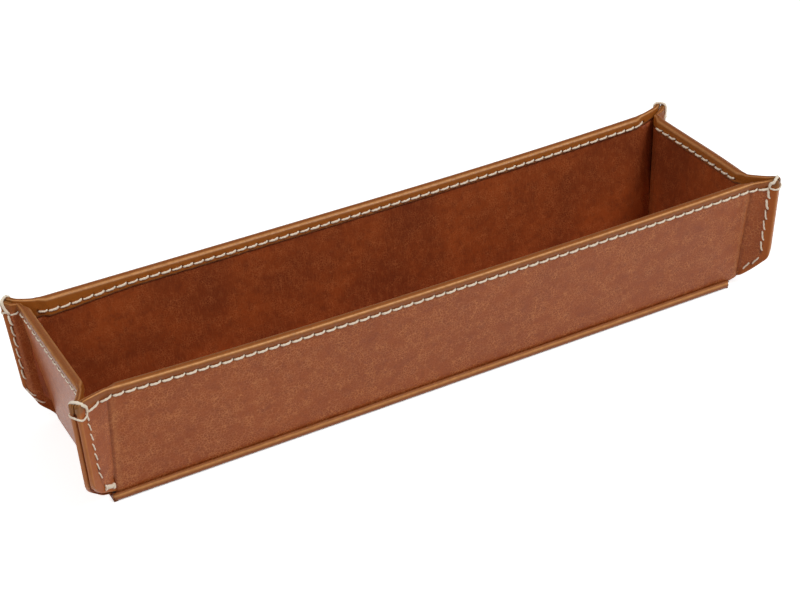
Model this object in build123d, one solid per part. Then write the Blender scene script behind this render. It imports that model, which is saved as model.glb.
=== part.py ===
from build123d import *
import os
from math import atan, ceil, cos, hypot, radians, sin

# Overall sizes of the tray, in millimetres
base_length = 255.0
base_width = 54.0
rim_height = 48.0

# How far the rim stands out over the base at each end and along each long side
end_flare = 4.6
long_flare = 6.3

# Sheets that the tray is built up from
leather = 1.2
board = 0.8
lining = 0.8
hem_thickness = 1.0
hem_depth = 6.7
rim_rounding = 0.9

# The rounded lip of the base, which stands proud of the foot of each wall
lip_overhang = 1.3
lip_corner_radius = 1.0

# Corner ears: the two walls' leather carried on past the boards and laid face to face
ear_angle = 40.0
ear_tip_reach = (5.7, 3.6, 1.4)
ear_lower_reach = (9.6, 7.2, 8.6)
ear_lower_radius = 4.0
ear_tip_radius = 1.2
ear_margin = 3.8
ear_slit = 0.3
ear_foot_rise = 0.4
seam_foot_height = 8.0
seam_corner_height = 17.0
seam_foot_margin = 12.1

# Thread and its stitches
thread = 0.75
stitch_height = 0.45
stitch_length = 3.3
stitch_pitch = 4.2
stitch_slant = 8.0
stitch_drop = 3.8
seam_pitch = 4.5
seam_first_height = 20.5
seam_top_drop = 5.0
seam_edge_distance = 3.1
foot_stitch_drop = 0.2
foot_stitch_distance = 7.2
loop_drop = 3.5
tack_width = 4.4
tack_height = 8.3
tack_distance = 7.7
tack_steps = 4
tack_lean = 55.0

# Clearances
board_clearance = 0.1
crease_allowance = 0.9
seat_lift = 0.02
round_gap = 0.01
loop_clearance = 0.06

# Heights, widths and leans that follow from the sizes above
rim_length = base_length + 2 * end_flare
rim_width = base_width + 2 * long_flare
lip_height = 2 * leather + board
floor_height = leather + board
board_top = rim_height - leather
rim_thickness = leather + board + lining + hem_thickness
wall_thickness = leather + board + lining
long_foot = base_width / 2 - lip_overhang
end_foot = base_length / 2 - lip_overhang
long_slope = (rim_width / 2 - long_foot) / (rim_height - lip_height)
end_slope = (rim_length / 2 - end_foot) / (rim_height - lip_height)
long_lean = atan(long_slope)
end_lean = atan(end_slope)
rim_fillet = min(rim_rounding, 0.75 * leather)
beyond = base_length

# The ears' corners and heights, reckoned from the rim's corner and the base's corner
ear_tip = (
    rim_length / 2 + ear_tip_reach[0],
    rim_width / 2 + ear_tip_reach[1],
    rim_height + ear_tip_reach[2],
)
ear_lower_corner = (
    base_length / 2 + ear_lower_reach[0],
    base_width / 2 + ear_lower_reach[1],
    lip_height + ear_lower_reach[2],
)
ear_foot_height = lip_height + ear_foot_rise
seam_last_height = rim_height - seam_top_drop
foot_stitch_height = ear_lower_corner[2] - foot_stitch_drop
loop_height = rim_height - loop_drop
ear_way = Vector(cos(radians(ear_angle)), sin(radians(ear_angle)), 0)
ear_side = Vector(-sin(radians(ear_angle)), cos(radians(ear_angle)), 0)


def long_face(height, depth=0.0):
    """Y of the back wall at a height, so far under its outer face."""
    return long_foot + (height - lip_height) * long_slope - depth / cos(long_lean)


def end_face(height, depth=0.0):
    """X of the right wall at a height, so far under its outer face."""
    return end_foot + (height - lip_height) * end_slope - depth / cos(end_lean)


long_board_half = end_face(floor_height, leather) - board_clearance
crease = long_board_half + crease_allowance


def end_crease(height):
    """Y where the right wall's face ends, in line with the back board's inner face."""
    return long_face(height, leather + board)


def band(face, plane, low, high, outer, inner, half, rounding=0.0):
    """A sheet of one wall between two heights and two depths, run out both ways."""
    outline = FilletPolyline(
        (face(low, outer), low),
        (face(high, outer), high),
        (face(high, inner), high),
        (face(low, inner), low),
        radius=[0, rounding, rounding, 0],
        close=True,
    )
    return extrude(plane * make_face(outline), amount=half, both=True)


def between(face, plane, low, high, depth, half=beyond):
    """All that lies between the two like walls at this depth under their outer faces."""
    outline = Polyline(
        (face(low, depth), low),
        (face(high, depth), high),
        (-face(high, depth), high),
        (-face(low, depth), low),
        close=True,
    )
    return extrude(plane * make_face(outline), amount=half, both=True)


def long_band(low, high, outer, inner, half, rounding=0.0):
    return band(long_face, Plane.YZ, low, high, outer, inner, half, rounding)


def end_band(low, high, outer, inner, clearance=0.0, rounding=0.0):
    sheet = band(end_face, Plane.XZ, low, high, outer, inner, beyond, rounding)
    return sheet & between(long_face, Plane.YZ, low, high, leather + board + clearance)


def both_ways(piece, plane):
    return piece + mirror(piece, about=plane)


def hollow(low, high, depth):
    """The space inside all four walls at this depth."""
    across = between(long_face, Plane.YZ, low, high, depth)
    along = between(end_face, Plane.XZ, low, high, depth)
    return across & along


def block(length, width, low, high):
    return Pos(0, 0, (low + high) / 2) * Box(length, width, high - low)


def ear_edge(height):
    """Point of the ears' upright outer edge, midway between the plies."""
    low, high = Vector(*ear_lower_corner), Vector(*ear_tip)
    return low + (high - low) * ((height - low.Z) / (high.Z - low.Z))


def seam_margin(height):
    """How far the seam lies in from the outer edge."""
    return ear_margin if height >= seam_corner_height else seam_foot_margin


def ear_point(height, margin, offset):
    """Point so far in from the ear's edge and so far off the plane between the plies."""
    return ear_edge(height) - ear_way * margin + ear_side * offset


def ear_gap(depth):
    """How far a face at this depth in the wall lies off the plane between the plies."""
    without_board = depth if depth <= leather else depth - board
    return ear_slit / 2 + lining + leather - without_board


def ear_section(height, long_ply, outer, inner):
    """One layer of one ply, cut level, from the wall's crease to past the outer edge."""
    sign = 1 if long_ply else -1
    outer_gap, inner_gap = ear_gap(outer), ear_gap(inner)
    margin = seam_margin(height)
    if long_ply:
        ends = [Vector(crease, long_face(height, depth), height) for depth in (outer, inner)]
    else:
        ends = [Vector(end_face(height, depth), end_crease(height), height) for depth in (outer, inner)]
    points = [
        ends[0],
        ear_point(height, margin, sign * outer_gap),
        ear_point(height, -ear_margin, sign * outer_gap),
        ear_point(height, -ear_margin, sign * inner_gap),
        ear_point(height, margin, sign * inner_gap),
        ends[1],
    ]
    return Wire.make_polygon(points, close=True)


def ear_layer(long_ply, outer, inner):
    levels = (lip_height, seam_foot_height, seam_corner_height, ear_tip[2] + ear_margin)
    sections = [ear_section(level, long_ply, outer, inner) for level in levels]
    return Part() + [Solid.make_loft(sections, ruled=True)]


def ear_outline():
    """Prism of the ears' outline, seen square to the plane between the plies."""
    start = Vector(crease, long_foot, 0)

    def along(point):
        return (Vector(*point[:2], 0) - start).dot(ear_way)

    run = along(ear_lower_corner)
    rim_run = along((crease, rim_width / 2))
    points = [
        (-ear_margin, lip_height),
        (0, ear_foot_height),
        (run, ear_lower_corner[2]),
        (along(ear_tip), ear_tip[2]),
        (run - ear_margin / 2, ear_tip[2] - leather / 2),
        (rim_run, rim_height),
        (-ear_margin, rim_height),
    ]
    radii = [0, 0, ear_lower_radius, ear_tip_radius, ear_lower_radius, ear_lower_radius, 0]
    face = make_face(FilletPolyline(*points, radius=radii, close=True))
    plane = Plane(origin=start, x_dir=ear_way, z_dir=-ear_side)
    return extrude(plane * face, amount=beyond / 8, both=True)


def all_corners(piece):
    return both_ways(both_ways(piece, Plane.YZ), Plane.XZ)


def make_boards():
    long_board = long_band(floor_height, board_top, leather, leather + board, long_board_half)
    end_board = end_band(floor_height, board_top, leather, leather + board, board_clearance)
    return {
        "base_board": block(
            base_length - 2 * leather, base_width - 2 * leather, leather, floor_height
        ),
        "back_wall_board": long_board,
        "front_wall_board": mirror(long_board, about=Plane.XZ),
        "right_wall_board": end_board,
        "left_wall_board": mirror(end_board, about=Plane.YZ),
    }


def base_skin():
    """Leather under the base, round its edge, and over the lip to the walls' feet."""
    slab = block(base_length, base_width, 0, lip_height)
    slab = fillet(slab.edges().filter_by(Axis.Z), lip_corner_radius)
    rims = slab.faces().filter_by(Axis.Z).edges()
    return fillet(rims, lip_height / 2 - round_gap)


def make_leather(boards, outline):
    skin = base_skin() - hollow(floor_height, rim_height, leather) - boards["base_board"]
    hem_low = rim_height - hem_depth
    walls = [
        long_band(floor_height, board_top, 0, leather, crease),
        long_band(board_top, rim_height, 0, rim_thickness, crease, rim_fillet),
        long_band(hem_low, board_top, wall_thickness, rim_thickness, crease),
    ]
    ends = [
        end_band(floor_height, board_top, 0, leather),
        end_band(board_top, rim_height, 0, rim_thickness, rounding=rim_fillet),
        end_band(hem_low, board_top, wall_thickness, rim_thickness),
    ]
    ears = (ear_layer(True, 0, leather) + ear_layer(False, 0, leather)) & outline
    for sheet in walls:
        skin += both_ways(sheet, Plane.XZ)
    for sheet in ends:
        skin += both_ways(sheet, Plane.YZ)
    return skin + all_corners(ears)


def make_lining(boards, leather_cover, outline):
    under = leather + board
    floor = hollow(floor_height, floor_height + lining, under)
    long_sheet = long_band(floor_height, board_top, under, wall_thickness, crease)
    end_sheet = end_band(floor_height, board_top, under, wall_thickness)
    ears = ear_layer(True, leather, wall_thickness) + ear_layer(False, leather, wall_thickness)
    sheet = floor + both_ways(long_sheet, Plane.XZ) + both_ways(end_sheet, Plane.YZ)
    sheet += all_corners(ears & outline)
    sheet -= leather_cover
    for piece in boards.values():
        sheet -= piece
    return max(sheet.solids(), key=lambda solid: solid.volume)


def stitch(at, along, out, slant=0.0):
    """One stitch lying on a face: a short round-ended length of thread."""
    seat = Plane(origin=at + out * seat_lift, x_dir=along, z_dir=out) * Rot(0, 0, slant)
    return seat * extrude(SlotOverall(stitch_length, thread), amount=stitch_height)


def stitch_row(count, point, along, out, slant):
    """Evenly pitched stitches on each side of the middle of a wall."""
    offsets = [(index - (count - 1) / 2) * stitch_pitch for index in range(count)]
    return Compound(children=[stitch(point(offset), along, out, slant) for offset in offsets])


def rim_threads():
    """Needle thread on each wall's outer face and bobbin thread on its hem."""
    height = rim_height - stitch_drop
    long_out = Vector(0, cos(long_lean), -sin(long_lean))
    end_out = Vector(cos(end_lean), 0, -sin(end_lean))
    long_count = int(2 * crease / stitch_pitch)
    end_count = int(2 * (end_crease(height) - rim_thickness) / stitch_pitch)
    rows = {}
    for name, depth, turn in (("thread", 0.0, 1), ("bobbin_thread", rim_thickness, -1)):
        y, x = long_face(height, depth), end_face(height, depth)
        back = stitch_row(
            long_count, lambda s: Vector(s, y, height), Vector(1, 0, 0), long_out * turn, stitch_slant
        )
        right = stitch_row(
            end_count, lambda s: Vector(x, s, height), Vector(0, 1, 0), end_out * turn, stitch_slant
        )
        rows[f"back_rim_{name}"] = back
        rows[f"front_rim_{name}"] = mirror(back, about=Plane.XZ)
        rows[f"right_rim_{name}"] = right
        rows[f"left_rim_{name}"] = mirror(right, about=Plane.YZ)
    return rows


def ear_frame(side):
    """Upright and outward directions of an ear's flat margin, on one of its two faces."""
    up = (Vector(*ear_tip) - Vector(*ear_lower_corner)).normalized()
    return up, up.cross(ear_way).normalized() * side


def corner_seam(side):
    """Stitches down one face of the ear, and two along its bottom edge."""
    up, out = ear_frame(side)
    offset = side * ear_gap(0)
    count = ceil((seam_last_height - seam_first_height) / seam_pitch)
    pieces = []
    for index in range(count):
        at = ear_point(seam_first_height + index * seam_pitch, seam_edge_distance, offset)
        pieces.append(stitch(at, up, out, stitch_slant / 2))
    slope = ear_lower_corner[2] - ear_foot_height
    run = hypot(ear_lower_corner[0] - crease, ear_lower_corner[1] - long_foot)
    along = (ear_way * run + up * slope).normalized()
    at = ear_point(foot_stitch_height, foot_stitch_distance, offset)
    pieces.append(stitch(at, along, out))
    pieces.append(stitch(at - along * seam_pitch, along, out))
    return pieces


def span(across, upward, thick):
    """A block between two places across and two upward, centred through its thickness."""
    middle = Pos(sum(across) / 2, sum(upward) / 2, 0)
    return middle * Box(across[1] - across[0], upward[1] - upward[0], thick)


def tip_loop():
    """Thread wound twice round the ears' tip: over the top, and round the outer edge."""
    up, out = ear_frame(1)
    half = ear_gap(0) * out.dot(ear_side) + seat_lift
    plane = Plane(origin=ear_edge(loop_height), x_dir=ear_way, z_dir=-out)
    reach = ear_tip[2] - loop_height
    thick = 2 * (half + stitch_height)
    edge, top = loop_clearance, reach + loop_clearance
    side_bars = span((-ear_margin, edge + thread), (-thread / 2, thread / 2), thick)
    side_gap = span((-2 * ear_margin, edge), (-thread, thread), 2 * half)
    top_bars = span((-ear_margin, thread - ear_margin), (-thread / 2, top + thread), thick)
    top_gap = span((-2 * ear_margin, edge), (-thread, top), 2 * half)
    return plane * ((side_bars - side_gap) + (top_bars - top_gap))


def bar_tack():
    """Zigzag of thread that ends the seam at the foot of one ear."""
    up, out = ear_frame(1)
    at = ear_point(tack_height, tack_distance, ear_gap(0))
    plane = Plane(origin=at + out * seat_lift, x_dir=ear_way, z_dir=out)
    zig = extrude(SlotOverall(stitch_length, thread), amount=stitch_height)
    tack = Part()
    for index in range(tack_steps):
        lean = tack_lean if index % 2 else -tack_lean
        shift = (index - (tack_steps - 1) / 2) * tack_width / tack_steps
        tack += Pos(shift, 0, 0) * Rot(0, 0, lean) * zig
    return plane * tack


def corner_threads():
    seams = Compound(children=corner_seam(1) + corner_seam(-1))
    loop = tip_loop()
    pieces = {}
    for name, planes in (
        ("back_right", ()),
        ("back_left", (Plane.YZ,)),
        ("front_right", (Plane.XZ,)),
        ("front_left", (Plane.YZ, Plane.XZ)),
    ):
        seam_copy, loop_copy = seams, loop
        for plane in planes:
            seam_copy = mirror(seam_copy, about=plane)
            loop_copy = mirror(loop_copy, about=plane)
        pieces[f"{name}_seam_thread"] = seam_copy
        pieces[f"{name}_tip_loop"] = loop_copy
    pieces["front_left_bar_tack"] = mirror(mirror(bar_tack(), about=Plane.YZ), about=Plane.XZ)
    return pieces


def main():
    outline = ear_outline()
    pieces = make_boards()
    cover = make_leather(pieces, outline)
    pieces["lining_leather"] = make_lining(pieces, cover, outline)
    pieces["outer_leather"] = cover
    pieces.update(rim_threads())
    pieces.update(corner_threads())
    os.makedirs("parts", exist_ok=True)
    for name, piece in pieces.items():
        export_step(piece, f"parts/{name}.step")
        print(name, len(piece.solids()), round(sum(solid.volume for solid in piece.solids()), 2))


main()
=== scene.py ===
"""Stitched leather pen tray: detailed leather, lining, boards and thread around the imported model."""

import math
from types import SimpleNamespace

import bpy
import numpy as np
from mathutils import Matrix, Vector


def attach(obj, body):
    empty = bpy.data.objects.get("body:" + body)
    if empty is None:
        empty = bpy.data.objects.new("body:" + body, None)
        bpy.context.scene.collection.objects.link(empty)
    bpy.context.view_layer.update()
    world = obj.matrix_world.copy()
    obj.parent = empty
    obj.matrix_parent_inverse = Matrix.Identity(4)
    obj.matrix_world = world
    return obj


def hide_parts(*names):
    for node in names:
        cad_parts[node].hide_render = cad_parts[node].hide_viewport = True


bl_info = {
    "name": "Stitched leather pen tray",
    "version": (1, 0, 0),
    "blender": (4, 5, 0),
    "location": "3D View > Sidebar > Pen Tray",
    "description": "Builds a leather pen tray with turned rims, corner ears and stitched seams",
    "category": "Add Mesh",
}

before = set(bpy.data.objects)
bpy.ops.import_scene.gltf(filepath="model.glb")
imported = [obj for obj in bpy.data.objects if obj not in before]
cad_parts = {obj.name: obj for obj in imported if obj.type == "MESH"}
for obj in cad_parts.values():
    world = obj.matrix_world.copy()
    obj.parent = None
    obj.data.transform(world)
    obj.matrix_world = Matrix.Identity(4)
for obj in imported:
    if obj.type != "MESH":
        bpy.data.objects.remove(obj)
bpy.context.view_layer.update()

MM = 0.001
PER_MM = 1000.0

# Which quarter of the tray each corner stands in
CORNERS = {
    "front_left": (-1, -1),
    "front_right": (1, -1),
    "back_left": (-1, 1),
    "back_right": (1, 1),
}

# For each wall: whether it runs along X, and the corners where it starts and ends
WALLS = {
    "front": (True, "front_left", "front_right"),
    "back": (True, "back_left", "back_right"),
    "left": (False, "front_left", "back_left"),
    "right": (False, "front_right", "back_right"),
}


def length(name, description, default, minimum=0.0):
    """A size in metres that shows as a length in the sidebar."""
    return bpy.props.FloatProperty(
        name=name, description=description, default=default, min=minimum, precision=5, unit="LENGTH"
    )


def bend(name, description, default):
    """A length that may be a little less than nothing."""
    return length(name, description, default, -0.005)


def lengths(name, description, default):
    """A row of lengths."""
    return bpy.props.FloatVectorProperty(
        name=name, description=description, default=default, size=len(default), precision=5, unit="LENGTH"
    )


def place(name, description, default):
    """A point given as three lengths."""
    return bpy.props.FloatVectorProperty(
        name=name, description=description, default=default, size=3, precision=5,
        subtype="TRANSLATION", unit="LENGTH",
    )


def angle(name, description, degrees):
    """An angle."""
    return bpy.props.FloatProperty(
        name=name, description=description, default=math.radians(degrees), subtype="ANGLE", unit="ROTATION"
    )


def number(name, description, default):
    """A plain number."""
    return bpy.props.FloatProperty(name=name, description=description, default=default)


def colour(name, description, default):
    """A linear colour."""
    return bpy.props.FloatVectorProperty(
        name=name, description=description, default=default, size=3, min=0.0, max=1.0, subtype="COLOR"
    )


def group(kind, name, description):
    """A group of settings that belongs to another."""
    return bpy.props.PointerProperty(type=kind, name=name, description=description)


def settings(table, **own):
    """Settings from a table of (kind, name, description, default), with a group's own defaults."""
    return {
        key: kind(name, description, own.get(key, default))
        for key, (kind, name, description, default) in table.items()
    }


# A wall starts at its left or its front end
WALL_SETTINGS = {
    "feet": (
        lengths, "Feet", "Distance of the wall's foot from the middle, at its start and end",
        (0.0259, 0.0259),
    ),
    "rim": (length, "Rim", "Distance of the rim from the middle of the base", 0.0333),
    "bow": (length, "Bow", "How far the wall bulges out in its middle", 0.0009),
    "rises": (
        lengths, "Rises", "How far the rim stands over the rim height at start, middle and end",
        (0.0, -0.0008, 0.0),
    ),
    "hems": (
        lengths, "Hems", "How far the hem reaches down inside at the wall's start and end",
        (0.0048, 0.0048),
    ),
}

EAR_SETTINGS = {
    "tip": (place, "Tip", "Distance of the tip from the middle of the base", (0.1376, 0.0369, 0.0502)),
    "lower": (
        place, "Lower corner", "Distance of the lower corner from the middle of the base",
        (0.1371, 0.0342, 0.0125),
    ),
    "angle": (angle, "Angle", "Direction of the ears from the long wall", 40.0),
    "lower_radius": (length, "Lower radius", "Rounding of the ears' lower corner", 0.0050),
    "tip_radius": (length, "Tip radius", "Rounding of the ears' tip", 0.0014),
    "long_bend": (bend, "Long bend", "How far the long wall runs on past its board before it bends", 0.0),
    "end_bend": (bend, "End bend", "How far the end wall runs on past its board before it bends", 0.0),
    "end_bend_low": (bend, "Lower end bend", "How much further the end wall runs on at its foot", 0.0),
    "long_bend_low": (bend, "Lower long bend", "How much further the long wall runs on at its foot", 0.0),
    "hem_dip": (length, "Hem dip", "How much lower the long wall's hem and seam reach near the bend", 0.0),
    "dyed": (number, "Dyed", "Strength of the dye on the tip", 1.0),
    "end_foot_margin": (length, "End foot margin", "Width of the end ear's flat margin at its foot", 0.0060),
    "long_foot_margin": (
        length, "Long foot margin", "Width of the long ear's flat margin at its foot", 0.0121
    ),
    "foot_bow": (length, "Foot bow", "How far the ears' foot line sags below a straight line", 0.0008),
    "foot_lift": (length, "Foot lift", "How far the wall's foot rises towards the bend", 0.0),
    "seam_inset": (length, "Seam inset", "Distance of the seam's top from the ears' edge", 0.0033),
    "seam_inset_low": (length, "Lower seam inset", "Distance of the seam's foot from the ears' edge", 0.0033),
    "seam_top": (length, "Seam top", "Height of the seam's topmost hole", 0.0440),
    "loop_sag": (length, "Loop sag", "How far the thread round the ears' edge hangs down", 0.0010),
    "thread_weight": (number, "Thread weight", "Thickness of the seam's thread against the rim's", 1.0),
}


class TraySizes(bpy.types.PropertyGroup):
    """Sizes of the tray's base, rim and sheets"""

    base_length: length("Base length", "Length of the base", 0.255)
    rim_height: length("Rim height", "Height of the rim at the corners", 0.048)
    leather: length("Leather", "Thickness of the outer leather", 0.0012)
    board: length("Board", "Thickness of the stiffening boards", 0.0008)
    lining: length("Lining", "Thickness of the lining", 0.00065)
    hem: length("Hem leather", "Thickness of the leather turned over the rim", 0.0009)
    rim_radius: length("Rim radius", "Rounding of the rim's two edges", 0.0013)
    lip_overhang: length("Lip overhang", "How far the base's lip stands proud of the wall", 0.0013)
    ear_margin: length("Ear margin", "Flat stitched margin along the ears' outer edge", 0.0038)
    ear_slit: length("Ear slit", "Gap between the two plies of an ear", 0.0003)


class FrontWall(bpy.types.PropertyGroup):
    """Front wall"""

    __annotations__ = settings(WALL_SETTINGS, feet=(0.0269, 0.02595), rises=(0.0003, -0.0015, -0.0006))


class BackWall(bpy.types.PropertyGroup):
    """Back wall"""

    __annotations__ = settings(
        WALL_SETTINGS, feet=(0.0268, 0.0262), rises=(0.0001, -0.0006, 0.0019), hems=(0.0053, 0.0041)
    )


class LeftWall(bpy.types.PropertyGroup):
    """Left end wall"""

    __annotations__ = settings(
        WALL_SETTINGS, feet=(0.1276, 0.1276), rim=0.1337, bow=0.0, rises=(-0.0001, -0.0005, -0.0002)
    )


class RightWall(bpy.types.PropertyGroup):
    """Right end wall"""

    __annotations__ = settings(
        WALL_SETTINGS, feet=(0.1260, 0.1260), rim=0.1321, bow=0.0008, rises=(0.0, 0.0, 0.0007)
    )


class StitchSizes(bpy.types.PropertyGroup):
    """Sizes of the thread and its stitches"""

    thread: length("Thread", "Width of the thread", 0.00084)
    rise: length("Stitch rise", "How far a stitch stands over the leather", 0.00042)
    inner_drop: length("Inner stitch drop", "How far the rim seam lies below the rim inside", 0.0028)
    pitch: length("Stitch pitch", "Distance between needle holes on the rims", 0.0042)
    hole: length("Needle hole", "Radius of the dimple at each needle hole", 0.00042)
    drop: length("Stitch drop", "How far the rim seam lies below the rim outside", 0.0030)
    seam_pitch: length("Seam pitch", "Distance between needle holes on the corner seams", 0.0045)
    slant: angle("Stitch slant", "Lean of each rim stitch along its row", 9.0)
    seam_slant: angle("Seam slant", "Lean of each corner stitch along its row", 15.0)


class TrayColours(bpy.types.PropertyGroup):
    """Colours of the tray's finishes"""

    leather: colour("Leather", "Main colour of the outer leather", (0.375, 0.084, 0.016))
    leather_dark: colour("Leather shade", "Darker mottling of the outer leather", (0.255, 0.050, 0.010))
    leather_light: colour("Leather flecks", "Lighter flecks of the outer leather", (0.600, 0.215, 0.070))
    rim: colour("Burnished rim", "Leather where it is polished at rims and folds", (0.260, 0.082, 0.014))
    # Colour of wear, also used as the painted highlight along the rims' rolls, the lip's bead and beside the
    # creases
    worn: colour("Worn edge", "Leather rubbed light along its edges", (0.860, 0.420, 0.150))
    dye: colour("Edge dye", "Dark dye on the ears' tips", (0.045, 0.030, 0.016))
    raw: colour("Cut edge", "Cut or skived edge of the leather", (0.400, 0.150, 0.050))
    lining: colour("Lining", "Main colour of the lining", (0.380, 0.074, 0.014))
    lining_dark: colour("Lining shade", "Darker mottling of the lining", (0.190, 0.034, 0.009))
    margin: colour("Ear margin", "Leather of the ears outside their seam", (0.430, 0.108, 0.009))
    hem: colour("Hem", "Leather turned over to the inside", (0.430, 0.130, 0.018))
    thread: colour("Thread", "Colour of the thread", (0.980, 0.860, 0.690))
    greyboard: colour("Greyboard", "Colour of the stiffening boards", (0.330, 0.290, 0.240))
    floor: colour("Floor", "Colour of the floor", (0.700, 0.700, 0.700))


class FrontLeftEar(bpy.types.PropertyGroup):
    """Ears at the front left corner"""

    __annotations__ = settings(
        EAR_SETTINGS, tip=(0.1381, 0.0369, 0.0486), lower=(0.1360, 0.0333, 0.0112), lower_radius=0.0100,
        end_bend=-0.0040, end_bend_low=0.0036, dyed=0.25, foot_bow=0.0003, seam_inset=0.0038,
        seam_inset_low=0.0049, loop_sag=0.0022, thread_weight=0.64,
    )


class FrontRightEar(bpy.types.PropertyGroup):
    """Ears at the front right corner"""

    __annotations__ = settings(
        EAR_SETTINGS, tip=(0.1389, 0.0371, 0.0487), lower=(0.1390, 0.0342, 0.0140), angle=49.0,
        tip_radius=0.0022, long_bend=0.0037, end_bend=-0.0045, end_bend_low=0.0042, long_bend_low=0.0012,
        long_foot_margin=0.0096, foot_bow=0.0015, foot_lift=0.0010, seam_top=0.0449, thread_weight=0.78,
    )


class BackLeftEar(bpy.types.PropertyGroup):
    """Ears at the back left corner"""

    __annotations__ = settings(
        EAR_SETTINGS, tip=(0.1376, 0.0369, 0.0492), lower=(0.1355, 0.0336, 0.0152), long_bend=0.0020,
        end_bend=0.0012, end_bend_low=0.0030, hem_dip=0.0017, end_foot_margin=0.0040, foot_bow=0.0,
        seam_inset=0.0027, seam_inset_low=0.0017, thread_weight=0.75,
    )


class BackRightEar(bpy.types.PropertyGroup):
    """Ears at the back right corner"""

    __annotations__ = settings(EAR_SETTINGS)


class PenTray(bpy.types.PropertyGroup):
    """All settings of the pen tray"""

    sizes: group(TraySizes, "Sizes", "Sizes of the tray")
    stitches: group(StitchSizes, "Stitches", "Sizes of the stitches")
    colours: group(TrayColours, "Colours", "Colours of the finishes")
    front: group(FrontWall, "Front", "Front wall")
    back: group(BackWall, "Back", "Back wall")
    left: group(LeftWall, "Left", "Left end wall")
    right: group(RightWall, "Right", "Right end wall")
    front_left: group(FrontLeftEar, "Front left", "Front left ears")
    front_right: group(FrontRightEar, "Front right", "Front right ears")
    back_left: group(BackLeftEar, "Back left", "Back left ears")
    back_right: group(BackRightEar, "Back right", "Back right ears")


# Sizes in millimetres

def in_millimetres(group):
    """The group's lengths and points in millimetres, and its angles as they are."""
    out = SimpleNamespace()
    for prop in group.bl_rna.properties:
        if prop.type != "FLOAT":
            continue
        value = getattr(group, prop.identifier)
        if prop.is_array:
            value = np.array(value, float)
        if prop.unit == "LENGTH":
            value = value * PER_MM
        setattr(out, prop.identifier, value)
    return out


def tray_sizes(tray):
    """The tray's sizes in millimetres with those that follow from them."""
    t = in_millimetres(tray.sizes)
    t.lip_height = 2 * t.leather + t.board
    t.floor_height = t.leather + t.board
    t.foot = t.floor_height + 0.3
    t.rim_thickness = t.leather + t.board + t.lining + t.hem
    t.wall_thickness = t.leather + t.board + t.lining
    t.ply = t.leather + t.lining
    t.crease = t.base_length / 2 - t.lip_overhang - 0.6
    return t


def smooth(value):
    """Eased step from 0 to 1."""
    value = np.clip(value, 0.0, 1.0)
    return value * value * (3 - 2 * value)


def bump(distance, width):
    """A soft hump, 1 at no distance."""
    return np.exp(-((distance / width) ** 2))


def ripple(a, b, seed=0.0):
    """Smooth uneven value of about -1 to 1 over two coordinates, the same each run."""
    total = np.sin(a * 1.0 + 1.7 * seed) * np.cos(b * 1.3 + 2.1 * seed)
    total = total + 0.6 * np.sin(a * 2.3 + b * 0.9 + 3.3 * seed)
    total = total + 0.4 * np.sin(b * 2.9 - a * 1.7 + 0.5 + seed)
    return total / 2.0


# The walls and ears as surfaces. Lengths are in millimetres from here on

# The wall starts to thin down to one ply so far before the crease, and does it over so long a run
THIN_BEFORE = 4.6
THIN_LENGTH = 4.4
# The ears' margin is widest up to this height, and narrows over so long a rise above it
MARGIN_LOW = 7.0
MARGIN_SPAN = 10.5
# Over the last of a long wall its hem reaches further down
DIP_BEFORE = 38.0
DIP_LENGTH = 36.0
# The foot of a wall that lifts does it over so long a run before the crease
LIFT_LENGTH = 3.6
# Height of the end walls' foot
END_FOOT = 0.08


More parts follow.
